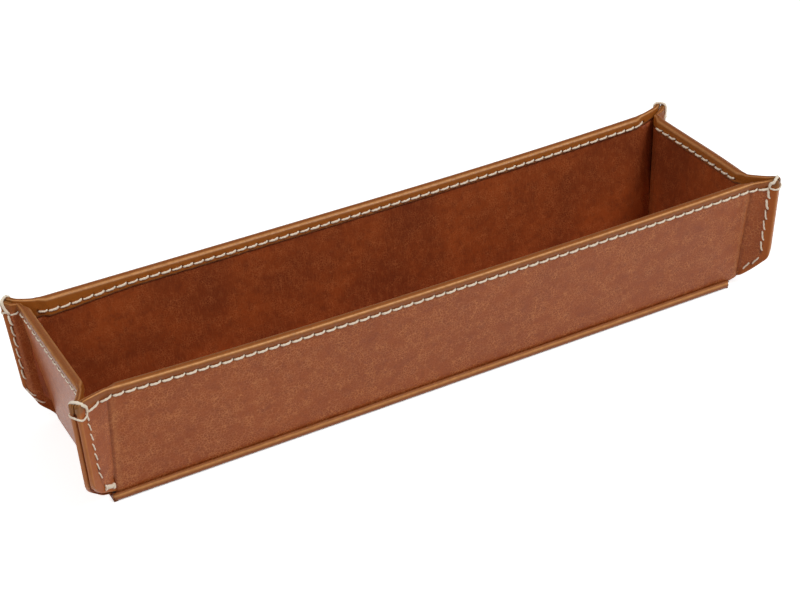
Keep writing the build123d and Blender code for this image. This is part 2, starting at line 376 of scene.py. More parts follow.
class HalfWall:
    """Half of one wall, from its middle to the outer edge of the ear, reckoned in the first quarter.

    A place on it has a run, measured along the wall from its middle and on over the ear, a height,
    and a depth under the outer face.
    """

    def __init__(self, tray, corner, runs_long):
        self.t = tray_sizes(tray)
        self.ear = in_millimetres(getattr(tray, corner))
        self.runs_long = runs_long
        along_x, along_y = CORNERS[corner]
        self.signs = np.array([along_x, along_y, 1.0])
        self.long_wall = in_millimetres(tray.front if along_y < 0 else tray.back)
        self.end_wall = in_millimetres(tray.left if along_x < 0 else tray.right)
        self.wall = self.long_wall if runs_long else self.end_wall
        self.long_foot = self.long_wall.feet[int(along_x > 0)]
        self.end_foot = self.end_wall.feet[int(along_y > 0)]
        later = int((along_x if runs_long else along_y) > 0)
        self.top = self.t.rim_height + self.wall.rises[2 * later]
        self.middle_top = self.t.rim_height + self.wall.rises[1]
        self.hem = self.wall.hems[later]
        self.foot_shift = self.wall.feet.mean() - self.wall.feet[later]
        self.foot = self.t.foot if runs_long else END_FOOT
        angle = self.ear.angle
        self.way = np.array([math.cos(angle), math.sin(angle)])
        self.side = np.array([-math.sin(angle), math.cos(angle)]) * (1 if runs_long else -1)
        self._outline()
        self.length = float(self.crease_run(np.array(self.top)))
        self.ear_length = float(self.reach(self.top))

    def _face(self, foot, rim, height, depth):
        slope = (rim - foot) / (self.t.rim_height - self.t.lip_height)
        return foot + (height - self.t.lip_height) * slope - depth * math.hypot(1.0, slope)

    def long_face(self, height, depth=0.0):
        return self._face(self.long_foot, self.long_wall.rim, height, depth)

    def end_face(self, height, depth=0.0):
        return self._face(self.end_foot, self.end_wall.rim, height, depth)

    def crease_run(self, height):
        """How far from its middle the wall bends into the ear."""
        lowness = 1 - np.clip(height / self.t.rim_height, 0, 1)
        if self.runs_long:
            return self.t.crease + self.ear.long_bend + self.ear.long_bend_low * lowness
        end = self.ear.end_bend + self.ear.end_bend_low * lowness
        return self.long_face(height, self.t.leather + self.t.board) + end

    def crease_point(self, height, depth):
        along = self.crease_run(height)
        if self.runs_long:
            return np.stack([along, self.long_face(height, depth)], -1)
        return np.stack([self.end_face(height, depth), along], -1)

    def edge_point(self, height):
        """The ears' outer edge, midway between the plies."""
        low, high = self.ear.lower, self.ear.tip
        share = (height - low[2]) / (high[2] - low[2])
        return low[:2] + share[..., None] * (high[:2] - low[:2])

    def margin(self, height):
        """Width of the flat stitched part, which widens along the ears' foot."""
        foot = self.ear.long_foot_margin if self.runs_long else self.ear.end_foot_margin
        return foot + (self.t.ear_margin - foot) * smooth((height - MARGIN_LOW) / MARGIN_SPAN)

    def inset(self, height):
        """Distance of the corner seam from the ear's edge."""
        share = np.clip((self.ear.seam_top - height) / (self.ear.seam_top - self.ear.lower[2]), 0, 1)
        return self.ear.seam_inset + (self.ear.seam_inset_low - self.ear.seam_inset) * share

    def seam_point(self, height, depth):
        margin = self.margin(height)[..., None]
        gap = (self.t.ear_slit / 2 + self.t.ply - depth)[..., None]
        return self.edge_point(height) - margin * self.way + gap * self.side

    def reach(self, height):
        """How far the ear runs beyond the crease."""
        height = np.asarray(height, float)
        flat = np.zeros_like(height)
        chord = np.linalg.norm(self.seam_point(height, flat) - self.crease_point(height, flat), axis=-1)
        return self.margin(height) + chord

    def thinned(self, past):
        """How far the wall has thinned down to one ply of the ear, so far past the crease."""
        return smooth((np.asarray(past, float) + THIN_BEFORE) / THIN_LENGTH)

    def thickness(self, past):
        """Thickness of the wall under its rim, which is one ply of the ear beyond the crease."""
        return self.t.rim_thickness + (self.t.ply - self.t.rim_thickness) * self.thinned(past)

    def point(self, run, height, depth):
        """Places in millimetres, in the first quarter."""
        run, height, depth = np.broadcast_arrays(*(np.asarray(v, float) for v in (run, height, depth)))
        t = self.t
        crease = self.crease_run(height)
        rise = np.clip((height - t.lip_height) / (t.rim_height - t.lip_height), 0.0, 1.1)
        share = np.clip(run / crease, 0, 1)
        bulge = self.wall.bow * (1 - share**2) * (rise**2 if self.runs_long else 1.0)
        bulge = bulge + self.foot_shift * (1 - share) * np.clip(1 - rise, 0, 1)
        if self.runs_long:
            wall = np.stack([run, self.long_face(height, depth) + bulge], -1)
            along = np.array([1.0, 0.0])
        else:
            wall = np.stack([self.end_face(height, depth) + bulge, run], -1)
            along = np.array([0.0, 1.0])
        left = crease + self.reach(height) - run
        margin = self.margin(height)
        gap = t.ear_slit / 2 + t.ply - depth
        flat = self.edge_point(height) - left[..., None] * self.way + gap[..., None] * self.side
        start, end = self.crease_point(height, depth), self.seam_point(height, depth)
        chord = np.linalg.norm(end - start, axis=-1)[..., None]
        share = np.clip((run - crease) / np.maximum(self.reach(height) - margin, 1e-6), 0, 1)[..., None]
        s2, s3 = share**2, share**3
        bend = (2 * s3 - 3 * s2 + 1) * start + (3 * s2 - 2 * s3) * end
        bend = bend + chord * (0.22 * (s3 - 2 * s2 + share) * along + 0.35 * (s3 - s2) * self.way)
        ear = np.where((left < margin)[..., None], flat, bend)
        across = np.where((run <= crease)[..., None], wall, ear)
        return np.concatenate([across, height[..., None]], -1)

    def rim(self, run):
        """Height of the rim over the wall."""
        share = np.clip(np.abs(run) / self.crease_run(np.array(self.top)), 0, 1)
        return self.middle_top + (self.top - self.middle_top) * share**2.3

    def hem_reach(self, run):
        """How far down the hem reaches inside."""
        middle = self.wall.hems.mean()
        return middle + (self.hem - middle) * np.clip(run / self.length, 0, 1) + self.dip(run)

    def dip(self, run):
        """How much further down the hem and its seam reach near the bend."""
        before = self.length - np.asarray(run, float)
        return self.ear.hem_dip * self.runs_long * smooth((DIP_BEFORE - before) / DIP_LENGTH)

    def ear_rim(self, left):
        """Height of the rim over the ear, rising to the tip."""
        share = np.clip(1 - left / self.reach(self.top), 0, 1)
        return self.top + (self.ear.tip[2] - self.top) * share**1.8

    def _outline(self):
        """The ear's four borders in (distance from the edge, height), from the crease outwards."""
        ear, foot = self.ear, self.foot + self.ear.foot_lift
        heights = np.linspace(foot, self.top, 80)
        self.crease_side = np.stack([self.reach(heights), heights], -1)
        start, corner = self.crease_side[0], np.array([0.0, ear.lower[2]])
        slope = (start - corner) / np.linalg.norm(start - corner)
        half = math.acos(np.clip(slope @ np.array([0.0, 1.0]), -1, 1)) / 2
        cut = ear.lower_radius / math.tan(half)
        low_start = corner + slope * cut
        low_end = corner + np.array([0.0, cut])
        lefts = np.linspace(self.crease_side[-1][0], ear.tip_radius, 40)
        self.top_side = np.stack([lefts, self.ear_rim(lefts)], -1)
        self.top_side[0] = self.crease_side[-1]
        tip_end = self.top_side[-1]
        tip = np.array([0.0, float(self.ear_rim(np.array(0.0)))])
        tip_start = tip - np.array([0.0, ear.tip_radius])
        control = start + 0.3 * (corner - start) - np.array([0.0, ear.foot_bow])
        self.foot_side = bezier(start, control, low_start, 40)
        straight = np.linspace(low_end, tip_start, 40)[1:-1]
        self.edge_side = np.concatenate(
            [bezier(low_start, corner, low_end, 16), straight, bezier(tip_start, tip, tip_end, 10)]
        )
        self.edge_length = float(np.linalg.norm(np.diff(self.edge_side, axis=0), axis=1).sum())

    def ear_place(self, u, v):
        """Run and height on the ear, where u goes from crease to edge and v from foot to rim."""
        u, v = np.broadcast_arrays(np.asarray(u, float), np.asarray(v, float))
        foot, top = along_line(self.foot_side, u), along_line(self.top_side, u)
        inner, outer = along_line(self.crease_side, v), along_line(self.edge_side, v)
        u, v = u[..., None], v[..., None]
        p00, p01 = self.crease_side[0], self.crease_side[-1]
        p10, p11 = self.edge_side[0], self.edge_side[-1]
        patch = (1 - v) * foot + v * top + (1 - u) * inner + u * outer
        patch = patch - (1 - u) * (1 - v) * p00 - u * (1 - v) * p10 - (1 - u) * v * p01 - u * v * p11
        left, height = patch[..., 0], patch[..., 1]
        return self.crease_run(height) + self.reach(height) - left, height

    def foot_at(self, station):
        """Height of the sheet's foot at a station, which may rise towards the bend."""
        share = float(np.clip(1 + self.past_crease(station) / LIFT_LENGTH, 0, 1))
        return self.foot + self.ear.foot_lift * share

    def column_height(self, station):
        """Length of the sheet from foot to rim at a station."""
        foot = self.foot_at(station)
        if station <= 1:
            return float(self.rim(station * self.length)) - foot
        straight = self.top - foot
        return straight + (self.edge_length - straight) * (station - 1)

    def column(self, station, v):
        """Run and height of a column of places. Stations: 0 is the middle, 1 the crease and 2 the edge."""
        if station <= 1:
            foot = self.foot_at(station)
            height = foot + v * (float(self.rim(station * self.length)) - foot)
            return station * self.crease_run(height), height
        return self.ear_place(station - 1, v)

    def past_crease(self, station):
        """Millimetres from the crease to a station, along the rim."""
        return (station - 1) * (self.length if station <= 1 else self.ear_length)


def bezier(start, control, end, count):
    s = np.linspace(0, 1, count)[:, None]
    return (1 - s) ** 2 * start + 2 * s * (1 - s) * control + s**2 * end


def along_line(line, share):
    """Places at equal shares of a line's length."""
    steps = np.concatenate([[0.0], np.cumsum(np.linalg.norm(np.diff(line, axis=0), axis=1))])
    steps = steps / steps[-1]
    return np.stack([np.interp(share, steps, line[:, k]) for k in range(line.shape[1])], -1)


# Meshes

class Body:
    """Gathers closed shells into one mesh, with painted values and two finishes."""

    def __init__(self):
        self.points, self.faces, self.kinds, self.paint = [], [], [], {}
        self.count = 0

    def add(self, points, faces, kinds=None, **paint):
        points = np.asarray(points, float)
        self.points.append(points)
        self.faces.extend([tuple(int(i) + self.count for i in face) for face in faces])
        self.kinds.extend(kinds if kinds is not None else [0] * len(faces))
        for name in dict.fromkeys([*self.paint, *paint]):
            rows = self.paint.setdefault(name, [np.zeros(self.count)])
            rows.append(np.asarray(paint.get(name, np.zeros(len(points))), float).ravel())
        self.count += len(points)

    def build(self, name, materials):
        """The finished object, in metres and shaded smooth."""
        mesh = bpy.data.meshes.new(name)
        mesh.from_pydata((np.concatenate(self.points) * MM).tolist(), [], self.faces)
        for material in materials:
            mesh.materials.append(material)
        mesh.polygons.foreach_set("material_index", np.array(self.kinds, np.int32))
        mesh.polygons.foreach_set("use_smooth", np.ones(len(self.faces), bool))
        for key, rows in self.paint.items():
            layer = mesh.attributes.new(key, "FLOAT", "POINT")
            layer.data.foreach_set("value", np.concatenate(rows).astype(np.float32))
        mesh.update()
        if mesh.validate():
            raise RuntimeError(f"{name} has faults in its mesh")
        obj = bpy.data.objects.new(name, mesh)
        bpy.context.scene.collection.objects.link(obj)
        return obj


def ring_faces(columns, rows):
    """Quads between neighbouring columns of closed rings."""
    faces = []
    for c in range(columns - 1):
        for r in range(rows):
            n = (r + 1) % rows
            faces.append((c * rows + r, c * rows + n, (c + 1) * rows + n, (c + 1) * rows + r))
    return faces


def strip_caps(columns, side_rows):
    """Quads that close the two ends of a thick strip whose rings go out on one side and back on the other."""
    rows = 2 * side_rows
    faces = []
    for column, turned in ((0, False), (columns - 1, True)):
        base = column * rows
        for r in range(side_rows - 1):
            quad = (base + r, base + rows - 1 - r, base + rows - 2 - r, base + r + 1)
            faces.append(quad[::-1] if turned else quad)
    return faces


def add_strip(body, columns, kinds=None, **paint):
    """Closes a thick strip, given as columns of rings that go out on one side and back on the other."""
    side_rows = len(columns[0]) // 2
    points = np.concatenate(columns)
    faces = ring_faces(len(columns), 2 * side_rows) + strip_caps(len(columns), side_rows)
    body.add(points, outward(points, faces), kinds, **paint)


def along_wall(halves, stations_of, column):
    """Columns over a whole wall, from corner to corner, made at the stations of each half."""
    columns = []
    for half, turned in zip(halves, (True, False)):
        part = [column(half, station) for station in stations_of(half)]
        columns.extend(part[:0:-1] if turned else part)
    return columns


def outward(points, faces):
    """The same faces, turned if the shell they close is inside out."""
    fans = np.array([(face[0], face[i], face[i + 1]) for face in faces for i in range(1, len(face) - 1)])
    a, b, c = (points[fans[:, k]] for k in range(3))
    volume = np.einsum("ij,ij->i", a, np.cross(b, c)).sum()
    return faces if volume > 0 else [face[::-1] for face in faces]


def rounded(distance, radius):
    """How far a face falls back at so far from an edge that is rounded over."""
    near = np.clip(1 - np.asarray(distance, float) / radius, 0, 1)
    return radius * (1 - np.sqrt(1 - near**2))


def surface_normals(grid):
    """Unit normals over a grid of places."""
    normal = np.cross(np.gradient(grid, axis=0), np.gradient(grid, axis=1))
    size = np.linalg.norm(normal, axis=-1, keepdims=True)
    return normal / np.maximum(size, 1e-9)


def finish_piece(obj, slot, *nodes):
    """Hands a piece to the frame: hides what it replaces and hangs it on the body it rides on. The slot is
    not used.
    """
    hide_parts(*nodes)
    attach(obj, "root")


# Leather sheets

def stations_for(half, pitch):
    """Where a half wall's columns stand: close together at needle holes, the crease and the ear's edge."""
    crease = half.length
    steps = np.array([0.0, 0.16, 0.36, 0.62, 1.2, 2.1, 3.0, 3.58, 3.84, 4.04]) / 4.2 * pitch
    holes = hole_runs(half, pitch)
    runs = [0.0]
    for hole in holes[holes > -pitch]:
        runs.extend(hole + steps)
    runs = np.unique(np.round([r for r in runs if 0.0 <= r < crease - 5.4], 4))
    near = crease - np.array([
        5.1, 4.7, 4.3, 3.9, 3.4, 3.0, 2.6, 2.2, 1.85, 1.5, 1.2, 0.95, 0.72, 0.5, 0.3, 0.12, 0.0,
    ])
    wall = np.concatenate([runs, near]) / crease
    ear = np.array([
        0.008, 0.02, 0.035, 0.055, 0.08, 0.11, 0.15, 0.2, 0.25, 0.3, 0.35, 0.4, 0.45, 0.5, 0.55, 0.6, 0.65,
        0.69, 0.72, 0.75, 0.78, 0.81, 0.84, 0.87, 0.9, 0.93, 0.95, 0.965, 0.978, 0.988, 0.995, 1.0,
    ])
    return np.concatenate([wall, 1.0 + ear])


def hole_runs(half, pitch):
    """Needle holes of the rim seam along half a wall, from the middle."""
    t = half.t
    reach = t.crease if half.runs_long else half.long_wall.rim - t.leather - t.board - t.rim_thickness
    count = int(2 * reach / pitch)
    runs = (np.arange(count + 1) - count / 2) * pitch
    return runs[runs > -1e-6] if not count % 2 else runs[runs > -pitch]


# Rows of a turned sheet: up its outer side, round the outer roll, across the top, round the inner roll
OUTER_ROWS = 35
ROLL_ROWS = 6
TOP_ROWS = 4
FAR_ROLL = OUTER_ROWS + ROLL_ROWS + TOP_ROWS


def leather_rows(t, column_height, thickness, hem, last):
    """Rows of the turned sheet as (distance under the rim, depth): its outer side, and its inner."""
    radius = min(t.rim_radius, thickness * 0.46)
    shares = np.concatenate([[1.0, 0.9965, 0.991, 0.983, 0.972, 0.955, 0.93], np.linspace(0.89, 0.0, 15)])
    lower = 7.4 + (column_height - 7.4) * shares
    upper = np.array([6.4, 5.4, 4.8, 4.4, 4.1, 3.85, 3.62, 3.4, 3.18, 2.95, 2.65, 2.3, 1.8])
    outer = [(h, 0.0) for h in np.concatenate([lower, upper])]
    under = [(h, t.leather) for h in np.concatenate([lower, upper])]
    turn = np.linspace(0, math.pi / 2, ROLL_ROWS)
    crown = 0.2
    back = thickness - hem
    for a in turn:
        outer.append((radius * (1 - math.sin(a)), radius * (1 - math.cos(a))))
        under.append((t.leather + 0.25 * (1 - a / math.pi * 2), t.leather))
    for k in np.arange(1, TOP_ROWS + 1) / (TOP_ROWS + 1):
        across = radius + (thickness - 2 * radius) * k
        outer.append((-crown * math.sin(math.pi * k), across))
        under.append((t.leather, t.leather + (back - t.leather) * k))
    for a in turn:
        outer.append((radius * (1 - math.cos(a)), thickness - radius * (1 - math.sin(a))))
        under.append((t.leather + 0.25 * a / math.pi * 2, back))
    inner = np.linspace(1.6, last - 0.95, 10)
    outer.extend((h, thickness) for h in inner)
    under.extend((h, back) for h in inner)
    for rest, skive in ((0.7, 0.1), (0.5, 0.22), (0.33, 0.36), (0.18, 0.5), (0.05, 0.6)):
        outer.append((last - rest, thickness - hem * skive))
        under.append((last - rest, back))
    outer.append((last, thickness - hem * 0.72))
    under.append((last, back))
    return np.array(outer), np.array(under)


SEEDS = {"front": 1.0, "back": 2.0, "left": 3.0, "right": 4.0}
EDGE_ROUND = 0.6


def wall_halves(tray, name):
    runs_long, first, second = WALLS[name]
    return [HalfWall(tray, corner, runs_long) for corner in (first, second)]


class LeatherWall:
    """The outer leather of one whole wall, with its rim, hem and both ears, as places and painted values."""

    def __init__(self, tray, name):
        self.seed = SEEDS[name]
        self.t = tray_sizes(tray)
        self.st = in_millimetres(tray.stitches)
        self.halves = wall_halves(tray, name)
        columns = along_wall(self.halves, lambda half: stations_for(half, self.st.pitch), self._column)
        self.outer = np.array([c[0] for c in columns])
        self.under = np.array([c[1] for c in columns])
        self.paint = {key: np.array([c[2][key] for c in columns]) for key in columns[0][2]}

    def _column(self, half, station):
        """One column: its outer and under places in the part's own frame, and its painted values."""
        t, st = self.t, self.st
        past_top = half.past_crease(station)
        thin = float(half.thinned(past_top))
        thickness = float(half.thickness(past_top))
        hem = t.hem + (0.74 - t.hem) * thin
        tall = half.column_height(station)
        sign = half.signs[0 if half.runs_long else 1]
        run_top = half.length + past_top
        uneven = 0.14 * ripple(sign * run_top * 0.42, np.array(0.0), self.seed)
        last = half.hem_reach(run_top) + uneven * (1 - thin)
        outer, under = leather_rows(t, tall, thickness, hem, float(last))
        index = np.arange(len(outer))
        outside = index < OUTER_ROWS
        places = []
        for rows, is_outer in ((outer, True), (under, False)):
            below, depth = rows[:, 0], rows[:, 1]
            run, height = half.column(station, np.clip(1 - below / tall, 0, 1))
            height = height + np.maximum(-below, 0)
            past = run - half.crease_run(height)
            edge = half.crease_run(height) + half.reach(height) - run
            edge = np.minimum(edge, tall - below) if station > 1 or not half.runs_long else edge
            fall = rounded(edge, EDGE_ROUND)
            wave = 0.09 * ripple(sign * run * 0.13, height * 0.16, self.seed)
            wave = wave * smooth((below - 1.2) / 3.0)
            if is_outer:
                fade = smooth((half.top - 2.2 - height) / 3.0)
                groove = (0.3 * bump(past - 0.2, 0.8) - 0.14 * bump(past + 1.5, 0.9)) * fade
                seam = 0.12 * bump(below - st.drop, 0.7) * (station < 1.6)
                on_hem = (station < 1.0) * (index >= FAR_ROLL)
                inner_seam = 0.1 * bump(below - inner_drop(half, st, run_top), 0.6) * on_hem
                depth = depth + np.where(outside, groove + wave + seam, -inner_seam)
                depth = np.clip(depth, fall, np.maximum(thickness - fall, fall + 0.1))
            else:
                thick_edge = smooth((1.1 - edge) / 0.4) * (station > 1)
                thick_edge = thick_edge * smooth((below - last - 0.1) / 0.8)
                depth = depth + np.where(outside, wave + (t.ply - 0.1 - t.leather) * thick_edge, 0)
                depth = np.where(outside & (thick_edge > 0.01), depth - fall, depth)
            places.append((run, height, depth, below, past, edge))
        grids = [half.point(run, height, depth) * half.signs for run, height, depth, *_ in places]
        run, height, _, below, past, edge = places[0]
        rolled = (index >= OUTER_ROWS) & (index < FAR_ROLL + ROLL_ROWS)
        rim = np.where(outside, smooth((4.6 - below) / 1.6) * 0.9, 1.0)
        to_tip = np.linalg.norm(grids[0] - half.ear.tip * half.signs, axis=-1)
        # Painted highlight along the rim's outer and inner rolls, half as strong on the end walls
        rubbed_and_lit = 1.0 if half.runs_long else 0.5
        outer_roll = rubbed_and_lit * bump(index - (OUTER_ROWS + 2.8), 0.9)
        inner_roll = rubbed_and_lit * bump(index - (FAR_ROLL + 2.5), 1.0)
        on_ear = float(station > 1)
        crease_fade = smooth((half.top - 3.0 - height) / 3.0)
        paint = {
            "rim": rim,
            "margin": on_ear * smooth(half.inset(height) + 0.5 - edge) * smooth((below - 2.0) / 1.5),
            "hem": smooth((index - (FAR_ROLL + 3.5)) / 2.0),
            "shine": rolled * 1.0,
            "raw": (index >= len(outer) - 6) * (1.0 - thin),
            # Painted highlight on the rolls and a painted lighter ridge beside the crease, with light wear
            # along the ears' edges
            "worn": outer_roll + 0.9 * inner_roll + 0.3 * on_ear * bump(edge - 0.3, 0.4)
            + 0.13 * bump(past + 1.6, 1.0) * crease_fade,
            # Painted shade in the crease
            "shade": 0.45 * bump(past - 0.1, 0.6) * crease_fade,
            "tip": smooth((5.2 - to_tip) / 2.2),
            "dye": half.ear.dyed * smooth((2.6 - to_tip) / 1.2),
        }
        return grids[0], grids[1], paint

    def dimple(self, holes):
        """Sinks the outer side at each needle hole, and paints shade into the hole."""
        flat = self.outer.reshape(-1, 3)
        normals = surface_normals(self.outer).reshape(-1, 3)
        inward = np.sign(np.einsum("ij,ij->i", normals, (self.outer - self.under).reshape(-1, 3)))
        normals = -normals * inward[:, None]
        dark = np.zeros(len(flat))
        pull = np.zeros(len(flat))
        for hole in holes:
            near = np.nonzero(np.abs(flat - hole).max(1) < 3.0)[0]
            away = np.linalg.norm(flat[near] - hole, axis=1)
            dark[near] = np.maximum(dark[near], bump(away, self.st.hole))
            pull[near] = np.maximum(pull[near], bump(away, self.st.hole * 2.6))
        flat = flat + normals * (SINK * dark + 0.07 * pull)[:, None]
        self.outer = flat.reshape(self.outer.shape)
        # Painted shade in the needle holes
        self.paint["hole"] = dark.reshape(self.outer.shape[:2])

    def add_to(self, body):
        """Closes the wall's strip into one shell."""
        columns, rows = self.outer.shape[:2]
        rings = np.concatenate([self.outer, self.under[:, ::-1]], 1)
        cut = [1 if rows - 7 <= r <= rows else 0 for r in range(2 * rows)]
        kinds = cut * (columns - 1) + [0] * (2 * (rows - 1))
        paint = {}
        for key, values in self.paint.items():
            both = np.concatenate([values, values[:, ::-1] * (0 if key == "hole" else 1)], 1)
            paint[key] = both.ravel()
        add_strip(body, rings, kinds, **paint)


# Stitches

# How deep a needle hole and a stitch's ends lie under the leather
SINK = 0.34
# Distance from a needle hole to the thread that comes out of it
HOLE_GAP = 0.24


def tube(path, normals, width, height, lay=1.5, phase=0.0, sides=10, taper=0.7):
    """A closed length of two-ply thread along a path, flattened towards the leather."""
    path = np.asarray(path, float)
    tangent = np.gradient(path, axis=0)
    tangent /= np.linalg.norm(tangent, axis=1, keepdims=True)
    normals = normals - np.sum(normals * tangent, 1, keepdims=True) * tangent
    normals /= np.linalg.norm(normals, axis=1, keepdims=True)
    across = np.cross(tangent, normals)
    length_along = np.concatenate([[0], np.cumsum(np.linalg.norm(np.diff(path, axis=0), axis=1))])
    share = length_along / length_along[-1]
    angle = np.linspace(0, 2 * math.pi, sides, endpoint=False)
    swell = 1 - (1 - taper) * np.abs(2 * share - 1) ** 4
    lobes = 1 + 0.13 * np.cos(2 * (angle[None] - 2 * math.pi * length_along[:, None] / lay / 2 + phase))
    radius = swell[:, None] * lobes
    points = (
        path[:, None]
        + across[:, None] * (radius * np.cos(angle) * width / 2)[..., None]
        + normals[:, None] * (radius * np.sin(angle) * height / 2)[..., None]
    )
    count = len(path)
    faces = ring_faces(count, sides)
    faces.append(tuple(range(sides))[::-1])
    faces.append(tuple((count - 1) * sides + k for k in range(sides)))
    flat = points.reshape(-1, 3)
    return flat, outward(flat, faces), np.repeat(share, sides)


def add_stitch(body, st, start, end, normal, slant, seed, samples=18, thick=1.0, hug=0.0):
    """One stitch from hole to hole: it comes out, leans over and dips back."""
    start, end, normal = (np.asarray(v, float) for v in (start, end, normal))
    along = end - start
    size = np.linalg.norm(along)
    along = along / size
    normal = normal - np.dot(normal, along) * along
    normal = normal / np.linalg.norm(normal)
    aside = np.cross(normal, along)
    share = np.linspace(0, 1, samples)
    wobble = 0.05 * math.sin(seed * 2.17)
    lean = math.tan(slant) * size * (share - 0.5) * 0.9
    smile = -0.17 * np.sin(math.pi * share) + 0.10 * np.sin(2 * math.pi * share)
    arch = 1 - np.abs(2 * share - 1) ** 5
    lift = -SINK + (st.rise * 0.5 + SINK + 0.02 * math.sin(seed * 1.3)) * arch - hug
    path = (
        start
        + np.outer(HOLE_GAP + (size - 2 * HOLE_GAP) * share, along)
        + np.outer(lean + smile + wobble, aside)
        + np.outer(lift, normal)
    )
    fat = thick * (1 + 0.07 * math.sin(seed * 3.1))
    points, faces, length_share = tube(
        path, np.tile(normal, (samples, 1)), st.thread * fat, st.thread * 0.82 * fat, phase=seed * 0.7
    )
    body.add(points, faces, shade=length_share, strand=np.full(len(points), (seed * 0.37) % 1.0))


def wall_normal(half, run, height, inside):
    """Outward normal of a wall or ear at a place, or the inward one for the hem."""
    step = 0.2
    depth = half.thickness(run - half.length) if inside else 0.0
    here = half.point(run, height, depth)
    along = half.point(run + step, height, depth) - here
    up = half.point(run, height + step, depth) - here
    normal = np.cross(along, up)
    out = half.point(run, height, depth - 1.0) - here
    normal = normal * np.sign(np.sum(normal * out, -1, keepdims=True))
    normal = normal / np.linalg.norm(normal, axis=-1, keepdims=True)
    return normal * half.signs * (-1 if inside else 1)


def inner_drop(half, st, run):
    """How far the seam lies below the rim on the hem, which is more on the end walls."""
    right = half.signs[0] > 0
    further = 0.0 if half.runs_long else 0.2 if right else 0.75
    return st.inner_drop + further + half.dip(run)


def rim_holes(half, st, inside):
    """Places and normals of the rim seam's holes. Outside they run on over the ear to the corner seam."""
    runs = hole_runs(half, st.pitch)
    if inside:
        if half.runs_long:
            runs = np.append(runs[runs < half.length - 3.0], half.length - 0.5)
        else:
            runs = runs[runs < half.length - (2.2 if half.signs[0] > 0 else 4.6)]
        heights = half.rim(runs) - inner_drop(half, st, runs)
        depth = half.thickness(runs - half.length)
    else:
        heights = half.rim(runs) - st.drop
        depth = 0.0
        crease, seam = half.length, half.ear.seam_top
        end = float(half.crease_run(np.array(seam)) + half.reach(seam) - half.inset(seam))
        count = max(1, round((end - runs[-1]) / st.pitch))
        more = np.linspace(runs[-1], end, count + 1)[1:]
        share = smooth((more - crease) / (end - crease))
        heights = np.concatenate([heights, half.top - st.drop + (seam - half.top + st.drop) * share])
        runs = np.concatenate([runs, more])
    places = half.point(runs, heights, depth) * half.signs
    return runs, places, wall_normal(half, runs, heights, inside)


def place_on_ear(half, left, height, depth=0.0):
    """A place so far in from the ear's edge."""
    height = np.asarray(height, float)
    run = half.crease_run(height) + half.reach(height) - left
    return half.point(run, height, depth) * half.signs, wall_normal(half, run, height, False)


def seam_holes(half, st):
    """Holes down the ear, and then along its foot, as (distance from the edge, height)."""
    foot_height = half.ear.lower[2] + 2.6
    count = round((half.ear.seam_top - foot_height) / st.seam_pitch)
    heights = np.linspace(half.ear.seam_top, foot_height, count + 1)
    down = [(float(half.inset(height)), height) for height in heights]
    slope = half.edge_side[0] - half.foot_side[0]
    slope = slope / np.linalg.norm(slope)
    turn = np.array([half.ear.seam_inset_low - 0.1, half.ear.lower[2] - 0.5])
    foot = [tuple(turn - slope * k * st.seam_pitch) for k in range(3)]
    return down, foot


def wall_holes(wall):
    """Every needle hole on a wall's outer side: rim, hem, and the ears' seams."""
    st = wall.st
    holes = []
    for half in wall.halves:
        for inside in (False, True):
            holes.extend(rim_holes(half, st, inside)[1])
        down, foot = seam_holes(half, st)
        holes.extend(place_on_ear(half, left, height)[0] for left, height in down[1:] + foot)
    return np.array(holes)


def rim_stitches(tray, name, inside):
    """The stitches of one rim seam, on its outer side or on the hem, from corner to corner."""
    st = in_millimetres(tray.stitches)
    body = Body()
    line = []
    for half, turned in zip(wall_halves(tray, name), (True, False)):
        runs, places, normals = rim_holes(half, st, inside)
        keep = runs > (1e-6 if turned or runs[0] < -1e-6 else -1e-6)
        pairs = list(zip(places[keep], normals[keep]))
        line.extend(pairs[::-1] if turned else pairs)
    backward = (name in ("back", "left")) != inside
    for index in range(len(line) - 1):
        (start, n0), (end, n1) = line[index], line[index + 1]
        if backward:
            start, end = end, start
        seed = index + 0.2 * SEEDS[name] + (5.3 if inside else 0.0)
        sunk = not (inside or WALLS[name][0])
        add_stitch(body, st, start, end, n0 + n1, st.slant, seed, thick=0.8 if sunk else 1.0, hug=0.1 * sunk)
    return body


HEAVY_STITCHES = {"front_right": 2}


def corner_stitches(tray, corner):
    """Stitches down both faces of a corner's ears and along their foot."""
    body = Body()
    st = in_millimetres(tray.stitches)
    for runs_long in (True, False):
        half = HalfWall(tray, corner, runs_long)
        turn = -half.signs[1] if runs_long else half.signs[1]
        for row, places in enumerate(seam_holes(half, st)):
            if row == 1 and corner == "front_left" and runs_long:
                continue
            for index in range(len(places) - 1):
                a, na = place_on_ear(half, *places[index])
                b, nb = place_on_ear(half, *places[index + 1])
                seed = index * 1.7 + row * 3.1 + (0 if runs_long else 9.0) + half.signs[0] * 0.4
                heavy = row == 0 and index < HEAVY_STITCHES.get(corner, 1)
                thick = half.ear.thread_weight * (1.35 if heavy else 1.0)
                add_stitch(body, st, a, b, na + nb, st.seam_slant * turn, seed, thick=thick)
    return body


